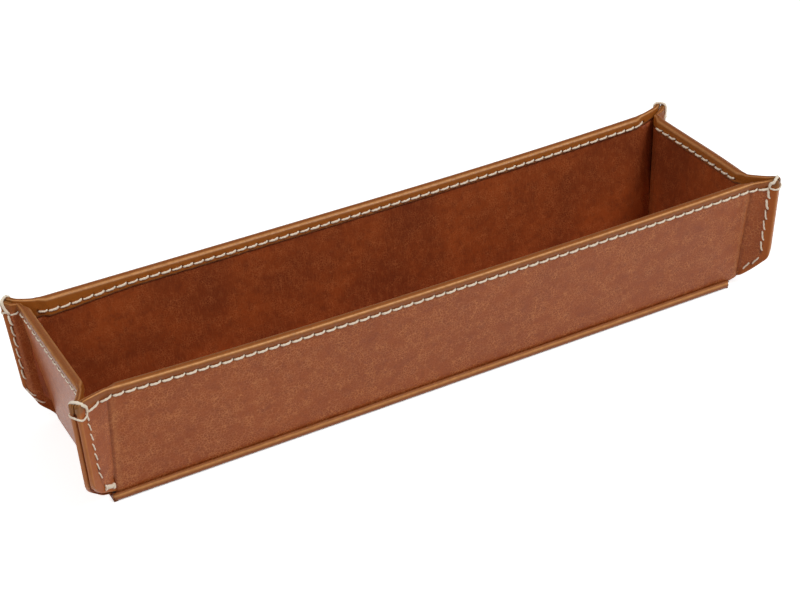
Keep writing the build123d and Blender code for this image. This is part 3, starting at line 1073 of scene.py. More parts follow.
def loop_path(half, over_top):
    """A loop of thread round the ears' tip, from its hole on one face to the same hole on the other."""
    t, sag, seam = half.t, half.ear.loop_sag, half.ear.seam_top
    inset = half.ear.seam_inset
    out = t.ear_slit / 2 + t.ply + 0.28
    crown = 0.45 * inset
    top = float(half.ear_rim(np.array(crown))) + 0.34
    if over_top:
        points = [
            (inset, seam + 0.2, out - 0.5), (inset, seam + 1.0, out), (inset - 0.3, seam + 2.4, out + 0.03),
            (crown + 0.7, top - 1.1, out - 0.05), (crown + 0.2, top - 0.2, out * 0.66),
            (crown, top + 0.04, 0.0),
            (crown - 0.1, top - 0.2, -out * 0.66), (crown, top - 1.1, -out + 0.05),
            (crown + 0.5, seam + 2.4, -out - 0.03), (inset - 0.2, seam + 1.0, -out),
            (inset, seam + 0.2, -out + 0.5),
        ]
    else:
        low = seam + 0.9
        points = [
            (inset, low - 0.1, out - 0.5), (inset - 0.1, low - sag * 0.5, out),
            (inset - 1.1, low - sag * 0.95, out + 0.03), (0.9, low - sag, out),
            (-0.1, low - sag * 0.75, out * 0.75), (-0.38, low - sag * 0.5, 0.0),
            (-0.1, low - sag * 0.4, -out * 0.75), (0.7, low - sag * 0.3, -out),
            (inset - 1.8, low, -out - 0.03), (inset - 0.7, low, -out), (inset, low - 0.1, -out + 0.5),
        ]
    path = []
    for left, height, off in points:
        place_xy = half.edge_point(np.array([height]))[0] - half.way * left + half.side * off
        path.append([*place_xy, height])
    path = smooth_line(np.array(path), 44)
    edge = half.edge_point(np.array([seam]))[0]
    middle = path.copy()
    if over_top:
        middle[:, :2] = edge - half.way * (inset - 0.6)
        middle[:, 2] = np.minimum(path[:, 2], top - 2.4)
    else:
        middle[:, :2] = edge - half.way * 2.4
    return path * half.signs, (path - middle) * half.signs


def smooth_line(points, count):
    """Catmull-Rom line through the points."""
    padded = np.concatenate([[2 * points[0] - points[1]], points, [2 * points[-1] - points[-2]]])
    out = []
    spans = len(points) - 1
    for value in np.linspace(0, spans, count):
        k = min(int(value), spans - 1)
        s = value - k
        a, b, c, d = padded[k : k + 4]
        square, cube = 2 * a - 5 * b + 4 * c - d, 3 * b - a - 3 * c + d
        out.append(0.5 * (2 * b + (c - a) * s + square * s**2 + cube * s**3))
    return np.array(out)


def tip_loops(tray, corner):
    """Thread wound over the ears' tip and round their outer edge."""
    body = Body()
    st = in_millimetres(tray.stitches)
    half = HalfWall(tray, corner, True)
    for over_top in (True, False):
        path, normals = loop_path(half, over_top)
        width = st.thread * (1.35 if over_top else 0.85)
        points, faces, share = tube(path, normals, width, width * 0.85, taper=0.85, phase=1.0)
        body.add(points, faces, shade=share, strand=np.full(len(points), 0.3 + 0.4 * over_top))
    return body


# The tack, by distance from the ears' edge: its zigzag, and its two bars
TACK_ZIGZAG = (10.2, 5.9)
TACK_BARS = (10.2, 5.8)
TACK_TURNS = 11
TACK_MIDDLE = 8.05
TACK_HEIGHT = 8.0
# Rise of the tack for each millimetre towards the edge
TACK_LEAN = 0.62


def bar_tack(tray):
    """Close zigzag of thread between two upright bars, at the foot of the front left ears."""
    body = Body()
    st = in_millimetres(tray.stitches)
    half = HalfWall(tray, "front_left", True)

    def level(left):
        return TACK_HEIGHT - TACK_LEAN * (left - TACK_MIDDLE)

    lefts = np.linspace(*TACK_ZIGZAG, TACK_TURNS)
    places = [(left, level(left) + (0.85 if k % 2 else -0.85)) for k, left in enumerate(lefts)]
    for index in range(len(places) - 1):
        a, na = place_on_ear(half, *places[index])
        b, nb = place_on_ear(half, *places[index + 1])
        add_stitch(body, st, a, b, na + nb, 0.0, index * 1.9, samples=12, thick=0.95)
    for left in TACK_BARS:
        foot, nf = place_on_ear(half, left, level(left) - 1.3)
        head, nh = place_on_ear(half, left, level(left) + 1.3)
        add_stitch(body, st, foot, head, nf + nh, 0.0, left, samples=14, thick=1.1, hug=-0.25)
    return body


# Base

# The lip's outer and inner line, as (distance beyond the wall's foot, height)
LIP_OUTER = (
    (0.02, 2.1), (0.06, 2.45), (0.16, 2.8), (0.33, 3.06), (0.55, 3.18), (0.8, 3.12), (1.05, 2.86),
    (1.24, 2.45), (1.36, 1.95), (1.4, 1.5), (1.35, 1.05), (1.2, 0.62), (0.95, 0.29), (0.6, 0.08),
    (0.1, 0.0), (-1.0, 0.0),
)
LIP_INNER = (
    (-0.9, 2.04), (-0.6, 2.06), (-0.3, 2.1), (-0.05, 2.12), (0.15, 2.1), (0.26, 2.04), (0.33, 1.94),
    (0.37, 1.82), (0.38, 1.7), (0.38, 1.58), (0.37, 1.46), (0.33, 1.36), (0.26, 1.28), (0.12, 1.22),
    (-0.1, 1.2), (-1.0, 1.2),
)
LIP_ENDS = (-127.3, 126.3)
LIP_END_ROUND = 1.5
# Dents of the front lip, as (place along the lip, width, depth)
DENTS = ((-119.0, 1.1, 0.16), (-112.5, 0.8, 0.12), (-104.0, 1.0, 0.1), (58.0, 1.3, 0.06))


def base_leather(tray, body):
    """The hide under the base, folded up round the long edges into lips that end at the corners."""
    t = tray_sizes(tray)
    front, back, left, right = (in_millimetres(getattr(tray, name)) for name in WALLS)
    steps = np.array([0.0, 0.06, 0.16, 0.3, 0.5, 0.8, 1.2, 1.7])
    low, high = LIP_ENDS
    xs = np.concatenate([low + steps, np.arange(low + 2.4, high - 2.0, 1.3), high - steps[::-1]])
    columns, paint = [], {"rim": [], "worn": [], "hole": []}
    for x in xs:
        along = (x - low) / (high - low)
        feet = [
            side * (wall.feet[0] + (wall.feet[1] - wall.feet[0]) * along)
            for side, wall in ((-1, front), (1, back))
        ]
        from_end = min(x - low, high - x)
        fall = float(rounded(from_end, LIP_END_ROUND))
        end = left if x < 0 else right
        kink = sum(deep * float(bump(x - middle, wide)) for middle, wide, deep in DENTS)
        rings = []
        for line, is_outer in ((LIP_OUTER, True), (LIP_INNER, False)):
            sides = []
            for foot in feet:
                dent = 0.05 * float(ripple(np.array(x * 0.35), np.array(math.copysign(1.0, foot)), 5.0))
                side = []
                for beyond, z in line:
                    round_part = float(smooth((z - 0.1) / 0.6) * smooth((beyond - 0.1) / 0.4))
                    push = (dent + (kink if foot < 0 else 0.0) + fall) * round_part * is_outer
                    y = foot + math.copysign(beyond - push, foot)
                    drop = 0.8 * kink * round_part * (z > 2.6) * (foot < 0) + 0.45 * fall * (z > 1.6)
                    drop = (drop - 0.6 * fall * (z < 1.0) * (beyond > -0.5)) * is_outer
                    shorter = 1.3 * (foot > 0) * max(0.0, 1 - (x - low) / 20.0)
                    side.append((x + shorter, y, z - drop, beyond, z))
                for share in (0.85, 0.6, 0.3):
                    side.append((x, foot * share, line[-1][1], -5.0, 0.0))
                sides.append(side)
            middle = [(x, 0.0, line[-1][1], -5.0, 0.0)]
            ring = np.array(sides[0] + middle + sides[1][::-1])
            inside = ring[:, 3] < -0.15
            limit = end.feet[0] - 0.5 + end.bow * (1 - (ring[:, 1] / 33.0) ** 2)
            ring[:, 0] = np.where(inside, np.sign(x) * np.minimum(abs(x), limit), ring[:, 0])
            rings.append(ring)
        ring = np.concatenate([rings[0], rings[1][::-1]])
        columns.append(ring[:, :3])
        beyond, z = ring[:, 3], ring[:, 4]
        fold = smooth((beyond - 0.1) / 0.3)
        paint["rim"].append(fold * 0.9)
        # Painted highlight along the middle of the lip's bead
        paint["worn"].append(0.95 * bump(z - 2.3, 0.38) * fold)
        # Painted shade in the groove above the lip
        paint["hole"].append(0.75 * bump(beyond - 0.05, 0.16) * (z > 2.0) * (from_end > 2.4))
    add_strip(body, columns, **{key: np.concatenate(values) for key, values in paint.items()})


# Lining and boards

BOARD_COLUMNS = 25
BOARD_ROWS = 13
# A board ends so far before the crease
BOARD_STOP = 4.4
BOARD_LIMIT = 0.9


def board_sheet(tray, name):
    """The stiffening board of one wall, which follows the wall's bow."""
    t = tray_sizes(tray)

    def column(half, share):
        ring = []
        up = range(BOARD_ROWS)
        for depth, rows in ((t.leather, up), (t.leather + t.board, reversed(up))):
            for r in rows:
                top = float(half.rim(share * half.length)) - t.leather
                height = np.array(t.floor_height + r / (BOARD_ROWS - 1) * (top - t.floor_height))
                end = float(half.crease_run(height)) - BOARD_STOP
                run = share * (min(end, t.crease - BOARD_LIMIT) if half.runs_long else end)
                ring.append(half.point(run, height, depth) * half.signs)
        return np.array(ring)

    def shares(half):
        return np.linspace(0, 1, BOARD_COLUMNS)

    body = Body()
    add_strip(body, along_wall(wall_halves(tray, name), shares, column))
    return body


def lining_stations(half):
    """Where a half wall's lining has its columns, close together before the crease."""
    near = 1 - np.array([5.0, 4.4, 3.8, 3.2, 2.6, 2.2, 1.8, 1.4, 1.0, 0.6, 0.3, 0.0]) / half.length
    wall = np.concatenate([np.linspace(0, near[0], 40 if half.runs_long else 14)[:-1], near])
    ear = np.array([0.02, 0.05, 0.09, 0.14, 0.2, 0.27, 0.35, 0.44, 0.53, 0.62, 0.7, 0.78, 0.84, 0.89, 0.93])
    return np.concatenate([wall, 1 + ear])


def lining_wall(tray, name, body):
    """The lining of one wall and of its two ears, tucked under the hem."""
    t = tray_sizes(tray)

    def column(half, station):
        sign = half.signs[0 if half.runs_long else 1]
        past = half.past_crease(station)
        thin = float(half.thinned(past))
        face = t.wall_thickness - 0.02 + (t.ply - t.wall_thickness) * thin
        top = float(half.hem_reach(half.length + past)) - 1.1 + 1.3 * float(smooth((thin - 0.4) / 0.5))
        tall = half.column_height(station)
        low = tall if half.runs_long else tall - (t.foot - half.foot)
        low = low - 0.9 * float(smooth((station - 1.0) * 8))
        below = np.concatenate([[low], np.linspace(low - 0.2, top, 26)])
        rows = []
        for depth, waves in ((face, 1.0), (face - t.lining + 0.03, 0.0)):
            run, height = half.column(station, 1 - below / tall)
            wave = 0.06 * ripple(sign * run * 0.16, height * 0.2, SEEDS[name] + 2)
            rows.append(half.point(run, height, depth + wave * waves) * half.signs)
        return np.concatenate([rows[0], rows[1][::-1]])

    add_strip(body, along_wall(wall_halves(tray, name), lining_stations, column))


# How far the floor's lining reaches under the walls' lining
FLOOR_TUCK = 0.35


def lining_floor(tray, body):
    """The lining on the floor, a thin slab that meets the walls' lining."""
    t = tray_sizes(tray)
    top = t.floor_height + t.lining
    ends = []
    for corner in ("front_left", "back_right"):
        half = HalfWall(tray, corner, True)
        reach_x = float(half.end_face(top, t.wall_thickness)) + half.end_wall.bow + FLOOR_TUCK
        reach_y = float(half.long_face(top, t.wall_thickness)) + FLOOR_TUCK
        ends.append((reach_x * half.signs[0], reach_y * half.signs[1]))
    (x_low, y_low), (x_high, y_high) = ends
    gx, gy = np.meshgrid(np.linspace(x_low, x_high, 90), np.linspace(y_low, y_high, 20), indexing="ij")
    upper = np.stack([gx, gy, top + 0.05 * ripple(gx * 0.12, gy * 0.2, 9.0)], -1)
    lower = np.stack([gx, gy, np.full_like(gx, t.floor_height + 0.01)], -1)
    add_strip(body, np.concatenate([upper, lower[:, ::-1]], 1))


# Finishes

class Finish:
    """A node material, built up by named steps."""

    def __init__(self, name, roughness, specular=0.5):
        self.material = bpy.data.materials.new(name)
        self.material.use_nodes = True
        self.nodes = self.material.node_tree.nodes
        self.links = self.material.node_tree.links
        self.shader = self.nodes["Principled BSDF"]
        self.shader.inputs["Roughness"].default_value = roughness
        self.shader.inputs["Specular IOR Level"].default_value = specular
        self.coordinates = self.nodes.new("ShaderNodeTexCoord").outputs["Object"]

    def stretched(self, scale):
        """Coordinates in the object's own space, scaled per metre."""
        node = self.nodes.new("ShaderNodeMapping")
        node.inputs["Scale"].default_value = scale
        self.links.new(self.coordinates, node.inputs["Vector"])
        return node.outputs["Vector"]

    def noise(self, per_mm, detail=3.0, rough=0.55, stretch=(1, 1, 1), distortion=0.0):
        node = self.nodes.new("ShaderNodeTexNoise")
        self.links.new(self.stretched([PER_MM * per_mm * s for s in stretch]), node.inputs["Vector"])
        node.inputs["Scale"].default_value = 1.0
        node.inputs["Detail"].default_value = detail
        node.inputs["Roughness"].default_value = rough
        node.inputs["Distortion"].default_value = distortion
        return node.outputs["Fac"]

    def cells(self, per_mm, feature="F1", stretch=(1, 1, 1)):
        node = self.nodes.new("ShaderNodeTexVoronoi")
        node.feature = feature
        self.links.new(self.stretched([PER_MM * per_mm * s for s in stretch]), node.inputs["Vector"])
        node.inputs["Scale"].default_value = 1.0
        return node.outputs["Distance"]

    def painted(self, name):
        """A value painted on the mesh."""
        node = self.nodes.new("ShaderNodeAttribute")
        node.attribute_name = name
        return node.outputs["Fac"]

    def spread(self, value, low, high, out_low=0.0, out_high=1.0):
        node = self.nodes.new("ShaderNodeMapRange")
        self.links.new(value, node.inputs["Value"])
        for key, edge in (("From Min", low), ("From Max", high), ("To Min", out_low), ("To Max", out_high)):
            node.inputs[key].default_value = edge
        return node.outputs["Result"]

    def maths(self, operation, a, b):
        node = self.nodes.new("ShaderNodeMath")
        node.operation = operation
        for socket, value in zip(node.inputs, (a, b)):
            if isinstance(value, (int, float)):
                socket.default_value = value
            else:
                self.links.new(value, socket)
        return node.outputs["Value"]

    def veins(self, per_mm, wander=0.55, width=0.14):
        """1 along a wandering network of fine lines, and 0 between them."""
        coordinates = self.stretched([PER_MM * per_mm] * 3)
        noise = self.nodes.new("ShaderNodeTexNoise")
        noise.inputs["Scale"].default_value = 1.7
        self.links.new(coordinates, noise.inputs["Vector"])
        shift = self.nodes.new("ShaderNodeVectorMath")
        shift.operation = "MULTIPLY_ADD"
        shift.inputs[1].default_value = (wander, wander, wander)
        self.links.new(noise.outputs["Color"], shift.inputs[0])
        self.links.new(coordinates, shift.inputs[2])
        cells = self.nodes.new("ShaderNodeTexVoronoi")
        cells.feature = "DISTANCE_TO_EDGE"
        cells.inputs["Scale"].default_value = 1.0
        self.links.new(shift.outputs[0], cells.inputs["Vector"])
        return self.spread(cells.outputs["Distance"], 0.0, width, 1.0, 0.0)

    def mix(self, factor, a, b):
        """Colours a and b, mixed. The colour sockets are numbers 6 and 7."""
        node = self.nodes.new("ShaderNodeMix")
        node.data_type = "RGBA"
        for socket, value in ((node.inputs[0], factor), (node.inputs[6], a), (node.inputs[7], b)):
            if isinstance(value, (int, float)):
                socket.default_value = value
            elif isinstance(value, tuple):
                socket.default_value = (*value, 1.0)
            else:
                self.links.new(value, socket)
        return node.outputs[2]

    def cover(self, tone, name, share, over):
        """The tone, with another laid over it where a value is painted on the mesh."""
        return self.mix(self.maths("MULTIPLY", self.painted(name), share), tone, over)

    def colour(self, value):
        self.links.new(value, self.shader.inputs["Base Color"])

    def roughness(self, value):
        self.links.new(value, self.shader.inputs["Roughness"])

    def relief(self, layers):
        """Bump from (height, strength, depth in millimetres) layers."""
        normal = None
        for height, strength, depth in layers:
            node = self.nodes.new("ShaderNodeBump")
            node.inputs["Strength"].default_value = strength
            node.inputs["Distance"].default_value = depth * MM
            self.links.new(height, node.inputs["Height"])
            if normal is not None:
                self.links.new(normal, node.inputs["Normal"])
            normal = node.outputs["Normal"]
        self.links.new(normal, self.shader.inputs["Normal"])


def leather_finish(colours):
    """Tanned leather: mottled grain with fine pale cracks, painted highlights and wear on the edges, polished
    rim, dyed ear tips, and painted shade in creases and needle holes.
    """
    f = Finish("tray_leather", 0.42, 0.22)
    leather, dark = tuple(colours.leather), tuple(colours.leather_dark)
    light = tuple(colours.leather_light)
    flecks = f.noise(1.0, 4.0, 0.65)
    mottle = f.noise(0.3, 4.0, 0.62)
    veins = f.veins(0.95)
    cracks = f.veins(0.42, 0.9, 0.045)
    patches = f.noise(0.2, 3.0, 0.6)
    on_wall = f.maths("SUBTRACT", 1.0, f.painted("margin"))
    tone = f.mix(f.spread(f.noise(0.045, 3.0, 0.5), 0.35, 0.65, 0.0, 0.35), leather, dark)
    tone = f.mix(f.spread(mottle, 0.48, 0.68, 0.0, 0.6), tone, dark)
    tone = f.mix(f.spread(flecks, 0.46, 0.3, 0.0, 0.55), tone, dark)
    strong = f.spread(patches, 0.38, 0.6, 0.2, 0.95)
    strength = f.maths("MULTIPLY", strong, f.spread(flecks, 0.35, 0.55, 0.3, 1.0))
    tone = f.mix(f.maths("MULTIPLY", veins, f.maths("MULTIPLY", strength, on_wall)), tone, light)
    sparse = f.maths("MULTIPLY", f.spread(f.noise(0.16, 2.0, 0.5), 0.5, 0.62, 0.0, 0.8), on_wall)
    tone = f.mix(f.maths("MULTIPLY", cracks, sparse), tone, light)
    edge = f.mix(f.spread(mottle, 0.35, 0.7, 0.0, 0.5), tuple(colours.margin), leather)
    tone = f.cover(tone, "margin", 0.9, edge)
    rim = f.mix(f.spread(flecks, 0.35, 0.7, 0.0, 0.35), tuple(colours.rim), leather)
    tone = f.cover(tone, "rim", 0.85, rim)
    tone = f.cover(tone, "hem", f.spread(mottle, 0.3, 0.7, 1.0, 0.6), tuple(colours.hem))
    # Painted highlight along the rims' rolls, the lip's bead and beside the creases, with light wear along
    # the ears' edges
    tone = f.cover(tone, "worn", f.spread(f.noise(0.5, 3.0), 0.3, 0.7, 0.6, 1.0), tuple(colours.worn))
    # Painted shade in the creases
    tone = f.mix(f.painted("shade"), tone, (0.16, 0.04, 0.012))
    tone = f.cover(tone, "tip", 0.5, (0.24, 0.105, 0.022))
    tone = f.cover(tone, "dye", 0.55, tuple(colours.dye))
    # Painted shade in the needle holes and in the groove above the lip
    tone = f.cover(tone, "hole", 0.92, (0.02, 0.008, 0.004))
    f.colour(tone)
    grain = f.spread(flecks, 0.3, 0.7, 0.36, 0.5)
    f.roughness(f.maths("SUBTRACT", grain, f.maths("MULTIPLY", f.painted("shine"), 0.1)))
    f.relief([
        (f.noise(0.25, 3.0, 0.5), 0.3, 0.25),
        (veins, 0.3, 0.07),
        (f.maths("ADD", f.noise(3.0, 3.0, 0.6), f.cells(1.9)), 0.24, 0.05),
    ])
    return f.material


def raw_finish(colours):
    """Cut leather: pale, fibrous and dull."""
    f = Finish("tray_cut_edge", 0.86, 0.25)
    fibres = f.noise(2.6, 5.0, 0.7, stretch=(1.0, 1.0, 2.2))
    tufts = f.noise(0.8, 4.0, 0.65)
    tone = f.mix(f.spread(fibres, 0.35, 0.65), (0.20, 0.070, 0.024), tuple(colours.raw))
    tone = f.mix(f.spread(tufts, 0.5, 0.7, 0.0, 0.6), tone, (0.56, 0.29, 0.12))
    tone = f.cover(tone, "dye", 0.8, tuple(colours.dye))
    f.colour(tone)
    f.relief([(fibres, 0.7, 0.18), (tufts, 0.5, 0.2)])
    return f.material


def lining_finish(colours):
    """Thin lining leather: darker, with faint upright streaks and a few wrinkles."""
    f = Finish("tray_lining", 0.55, 0.2)
    lining, dark = tuple(colours.lining), tuple(colours.lining_dark)
    streaks = f.noise(1.3, 4.0, 0.6, stretch=(1.0, 1.0, 0.22))
    flecks = f.noise(1.2, 4.0, 0.65)
    wrinkles = f.noise(0.28, 4.0, 0.6, stretch=(0.25, 0.25, 1.6), distortion=0.5)
    sparse = f.spread(f.noise(0.22, 3.0, 0.6), 0.42, 0.62, 0.08, 0.6)
    cracks = f.maths("MULTIPLY", f.veins(1.15, 0.8, 0.1), sparse)
    tone = f.mix(f.spread(f.noise(0.04, 3.0, 0.5), 0.35, 0.65, 0.0, 0.8), lining, dark)
    tone = f.mix(f.spread(f.noise(0.33, 4.0, 0.6), 0.48, 0.7, 0.0, 0.6), tone, dark)
    tone = f.mix(f.spread(streaks, 0.5, 0.72, 0.0, 0.35), tone, (0.52, 0.14, 0.04))
    tone = f.mix(f.spread(flecks, 0.45, 0.25, 0.0, 0.6), tone, dark)
    tone = f.mix(cracks, tone, (0.60, 0.18, 0.055))
    f.colour(tone)
    f.roughness(f.spread(flecks, 0.3, 0.7, 0.45, 0.62))
    f.relief([(wrinkles, 0.35, 0.25), (f.cells(1.4, "SMOOTH_F1"), 0.25, 0.08), (streaks, 0.3, 0.08)])
    return f.material


def thread_finish(colours):
    """Waxed two-ply thread: cream, with painted shade where it enters the leather."""
    f = Finish("tray_thread", 0.55, 0.3)
    fuzz = f.noise(5.0, 3.0, 0.6)
    ends = f.maths("ABSOLUTE", f.maths("SUBTRACT", f.painted("shade"), 0.5), 0.0)
    tone = f.mix(f.spread(fuzz, 0.3, 0.7, 0.0, 0.3), tuple(colours.thread), (0.80, 0.64, 0.46))
    # Painted shade on the thread's ends, where they go into the needle holes
    tone = f.mix(f.spread(ends, 0.4, 0.5, 0.0, 0.6), tone, (0.40, 0.20, 0.11))
    f.colour(tone)
    f.relief([(fuzz, 0.4, 0.06)])
    return f.material


def greyboard_finish(colours):
    """Pressed greyboard: dull, with short fibres and specks."""
    f = Finish("tray_greyboard", 0.9, 0.2)
    fibres = f.noise(1.6, 5.0, 0.7, stretch=(1.0, 1.0, 0.5))
    tone = f.mix(f.spread(fibres, 0.35, 0.65), tuple(colours.greyboard), (0.21, 0.18, 0.145))
    f.colour(tone)
    f.relief([(fibres, 0.5, 0.1)])
    return f.material


def materials(tray):
    """The finishes, made once and shared."""
    made = bpy.data.materials
    if "tray_leather" not in made:
        colours = tray.colours
        for make in (leather_finish, raw_finish, lining_finish, thread_finish, greyboard_finish):
            make(colours)
    return made


# Operators

class PENTRAY_OT_outer_leather(bpy.types.Operator):
    """Build the outer leather: four walls with rims, hems and ears, and the base with its lips"""

    bl_idname = "pen_tray.outer_leather"
    bl_label = "Outer leather"

    def execute(self, context):
        tray = context.scene.pen_tray
        body = Body()
        for name in WALLS:
            wall = LeatherWall(tray, name)
            wall.dimple(wall_holes(wall))
            wall.add_to(body)
        base_leather(tray, body)
        made = materials(tray)
        obj = body.build("tray_outer_leather", [made["tray_leather"], made["tray_cut_edge"]])
        finish_piece(obj, "outer_leather", "outer_leather")
        return {"FINISHED"}


class PENTRAY_OT_lining(bpy.types.Operator):
    """Build the lining of the floor, the walls and the ears"""

    bl_idname = "pen_tray.lining"
    bl_label = "Lining"

    def execute(self, context):
        tray = context.scene.pen_tray
        body = Body()
        for name in WALLS:
            lining_wall(tray, name, body)
        lining_floor(tray, body)
        obj = body.build("tray_lining", [materials(tray)["tray_lining"]])
        finish_piece(obj, "lining_leather", "lining_leather")
        return {"FINISHED"}


class PENTRAY_OT_boards(bpy.types.Operator):
    """Build the four wall boards and finish the base board"""

    bl_idname = "pen_tray.boards"
    bl_label = "Boards"

    def execute(self, context):
        tray = context.scene.pen_tray
        greyboard = materials(tray)["tray_greyboard"]
        for name in WALLS:
            obj = board_sheet(tray, name).build(f"{name}_wall_greyboard", [greyboard])
            finish_piece(obj, "greyboard", f"{name}_wall_board")
        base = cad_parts["base_board"]
        for slot in base.material_slots:
            slot.material = greyboard
        return {"FINISHED"}


class PENTRAY_OT_rim_stitches(bpy.types.Operator):
    """Sew the four rims: stitches outside, and the same seam's thread on the hem inside"""

    bl_idname = "pen_tray.rim_stitches"
    bl_label = "Rim stitches"

    def execute(self, context):
        tray = context.scene.pen_tray
        thread = materials(tray)["tray_thread"]
        for name in WALLS:
            for inside, node, slot in (
                (False, f"{name}_rim_thread", "needle_thread"),
                (True, f"{name}_rim_bobbin_thread", "bobbin_thread"),
            ):
                side = "inner" if inside else "outer"
                obj = rim_stitches(tray, name, inside).build(f"{name}_rim_{side}_stitches", [thread])
                finish_piece(obj, slot, node)
        return {"FINISHED"}


class PENTRAY_OT_seam_stitches(bpy.types.Operator):
    """Sew the seams down the four corners' ears"""

    bl_idname = "pen_tray.seam_stitches"
    bl_label = "Corner seams"

    def execute(self, context):
        tray = context.scene.pen_tray
        thread = materials(tray)["tray_thread"]
        for corner in CORNERS:
            obj = corner_stitches(tray, corner).build(f"{corner}_seam_stitches", [thread])
            finish_piece(obj, "needle_thread", f"{corner}_seam_thread")
        return {"FINISHED"}


class PENTRAY_OT_tip_loops(bpy.types.Operator):
    """Wind the thread over the four corners' tips"""

    bl_idname = "pen_tray.tip_loops"
    bl_label = "Tip loops"

    def execute(self, context):
        tray = context.scene.pen_tray
        thread = materials(tray)["tray_thread"]
        for corner in CORNERS:
            obj = tip_loops(tray, corner).build(f"{corner}_tip_winding", [thread])
            finish_piece(obj, "needle_thread", f"{corner}_tip_loop")
        return {"FINISHED"}


class PENTRAY_OT_bar_tack(bpy.types.Operator):
    """Sew the zigzag that ends the front left seam"""

    bl_idname = "pen_tray.bar_tack"
    bl_label = "Bar tack"

    def execute(self, context):
        tray = context.scene.pen_tray
        obj = bar_tack(tray).build("front_left_zigzag_tack", [materials(tray)["tray_thread"]])
        finish_piece(obj, "needle_thread", "front_left_bar_tack")
        return {"FINISHED"}


def floor_finish(colours):
    """Pale floor that shows white to the camera and keeps the tray's shadow."""
    material = bpy.data.materials.new("pale_floor")
    material.use_nodes = True
    nodes, links = material.node_tree.nodes, material.node_tree.links
    nodes.clear()
    diffuse = nodes.new("ShaderNodeBsdfDiffuse")
    diffuse.inputs["Color"].default_value = (*colours.floor, 1.0)
    glow = nodes.new("ShaderNodeEmission")
    path = nodes.new("ShaderNodeLightPath")
    strength = None
    for ray, level in (("Is Camera Ray", 0.72), ("Is Transmission Ray", 0.72), ("Is Glossy Ray", 1.05)):
        part = nodes.new("ShaderNodeMath")
        part.operation = "MULTIPLY"
        part.inputs[1].default_value = level
        links.new(path.outputs[ray], part.inputs[0])
        if strength is not None:
            both = nodes.new("ShaderNodeMath")
            both.operation = "MAXIMUM"
            links.new(strength, both.inputs[0])
            links.new(part.outputs[0], both.inputs[1])
            part = both
        strength = part.outputs[0]
    links.new(strength, glow.inputs["Strength"])
    both = nodes.new("ShaderNodeAddShader")
    links.new(diffuse.outputs[0], both.inputs[0])
    links.new(glow.outputs[0], both.inputs[1])
    out = nodes.new("ShaderNodeOutputMaterial")
    links.new(both.outputs[0], out.inputs["Surface"])
    return material


def studio_world():
    """Plain soft surroundings."""
    world = bpy.data.worlds.new("studio")
    world.use_nodes = True
    background = world.node_tree.nodes["Background"]
    background.inputs["Color"].default_value = (1.0, 1.0, 1.0, 1.0)
    background.inputs["Strength"].default_value = 0.3
    bpy.context.scene.world = world


# Lamps in metres: where each stands, the length of its side, and its watts
SOFTBOXES = (
    ("key_softbox", (0.85, -1.17, 1.66), 0.7, 19.3),
    ("fill_softbox", (-0.3, 0.6, 1.3), 1.0, 1.2),
    ("side_softbox", (-1.0, -0.1, 1.2), 1.0, 4.9),
)
LAMPS_LOOK_AT = (0.0, 0.0, 0.03)


def add_softbox(name, place_at, side, watts):
    """A square studio lamp that points at the tray."""
    lamp = bpy.data.lights.new(name, "AREA")
    lamp.shape = "RECTANGLE"
    lamp.size = lamp.size_y = side
    lamp.energy = watts
    obj = bpy.data.objects.new(name, lamp)
    obj.location = place_at
    obj.rotation_euler = (Vector(LAMPS_LOOK_AT) - Vector(place_at)).to_track_quat("-Z", "Y").to_euler()
    bpy.context.scene.collection.objects.link(obj)


CAMERA_PLACE = (-0.25772, -0.49801, 0.37308)
CAMERA_FORWARD = (0.3862, 0.7547, -0.5304)
CAMERA_RIGHT = (0.8780, -0.4770, -0.0394)
CAMERA_LENS = 81.68


def add_camera():
    """The camera, standing high in front and to the left of the tray."""
    camera = bpy.data.cameras.new("camera")
    camera.sensor_width = 36.0
    camera.lens = CAMERA_LENS
    camera.clip_start = 0.01
    obj = bpy.data.objects.new("camera", camera)
    forward = Vector(CAMERA_FORWARD).normalized()
    right = Vector(CAMERA_RIGHT)
    right = (right - right.dot(forward) * forward).normalized()
    up = right.cross(forward)
    turn = Matrix((right, up, -forward)).transposed()
    obj.matrix_world = Matrix.Translation(Vector(CAMERA_PLACE)) @ turn.to_4x4()
    bpy.context.scene.collection.objects.link(obj)
    bpy.context.scene.camera = obj


# From the middle of the floor to its sides, in metres
FLOOR_REACH = 3.0


class PENTRAY_OT_stage(bpy.types.Operator):
    """Set the floor, the soft lamps, the surroundings and the camera"""

    bl_idname = "pen_tray.stage"
    bl_label = "Stage"

    def execute(self, context):
        tray = context.scene.pen_tray
        mesh = bpy.data.meshes.new("floor")
        corners = [(x * FLOOR_REACH, y * FLOOR_REACH, 0) for x, y in ((-1, -1), (1, -1), (1, 1), (-1, 1))]
        mesh.from_pydata(corners, [], [(0, 1, 2, 3)])
        floor = bpy.data.objects.new("floor", mesh)
        mesh.materials.append(floor_finish(tray.colours))
        context.scene.collection.objects.link(floor)
        studio_world()
        for name, place_at, side, watts in SOFTBOXES:
            add_softbox(name, place_at, side, watts)
        add_camera()
        context.scene.view_settings.view_transform = "Standard"
        return {"FINISHED"}


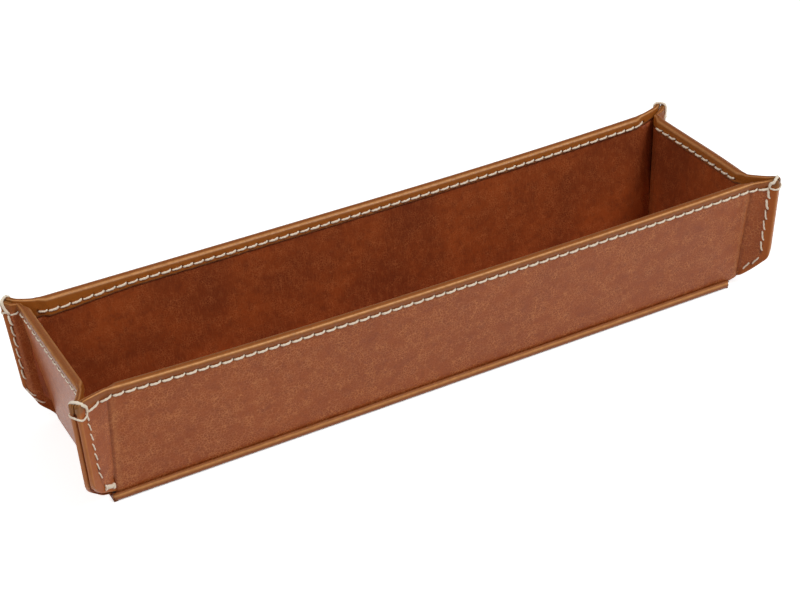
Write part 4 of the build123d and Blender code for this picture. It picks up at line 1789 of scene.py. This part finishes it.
class PENTRAY_PT_panel(bpy.types.Panel):
    """Lists the tray's pieces and settings"""

    bl_idname = "PENTRAY_PT_panel"
    bl_label = "Pen Tray"
    bl_space_type = "VIEW_3D"
    bl_region_type = "UI"
    bl_category = "Pen Tray"

    def draw(self, context):
        tray = context.scene.pen_tray
        column = self.layout.column(align=True)
        for operator in OPERATORS:
            column.operator(operator.bl_idname)
        for group, title in (
            (tray.sizes, "Sizes"), (tray.stitches, "Stitches"), (tray.colours, "Colours"),
            (tray.front, "Front wall"), (tray.back, "Back wall"),
            (tray.left, "Left wall"), (tray.right, "Right wall"),
            (tray.front_left, "Front left ears"), (tray.front_right, "Front right ears"),
            (tray.back_left, "Back left ears"), (tray.back_right, "Back right ears"),
        ):
            box = self.layout.box()
            box.label(text=title)
            for prop in group.bl_rna.properties:
                if prop.type == "FLOAT":
                    box.prop(group, prop.identifier)


OPERATORS = (
    PENTRAY_OT_outer_leather,
    PENTRAY_OT_lining,
    PENTRAY_OT_boards,
    PENTRAY_OT_rim_stitches,
    PENTRAY_OT_seam_stitches,
    PENTRAY_OT_tip_loops,
    PENTRAY_OT_bar_tack,
    PENTRAY_OT_stage,
)
CLASSES = (
    TraySizes, FrontWall, BackWall, LeftWall, RightWall, StitchSizes, TrayColours,
    FrontLeftEar, FrontRightEar, BackLeftEar, BackRightEar, PenTray,
    *OPERATORS, PENTRAY_PT_panel,
)


def register():
    for cls in CLASSES:
        bpy.utils.register_class(cls)
    bpy.types.Scene.pen_tray = bpy.props.PointerProperty(type=PenTray)


def unregister():
    del bpy.types.Scene.pen_tray
    for cls in reversed(CLASSES):
        bpy.utils.unregister_class(cls)


def main():
    register()
    bpy.ops.pen_tray.outer_leather()
    bpy.ops.pen_tray.lining()
    bpy.ops.pen_tray.boards()
    bpy.ops.pen_tray.rim_stitches()
    bpy.ops.pen_tray.seam_stitches()
    bpy.ops.pen_tray.tip_loops()
    bpy.ops.pen_tray.bar_tack()
    bpy.ops.pen_tray.stage()


if __name__ == "__main__":
    main()
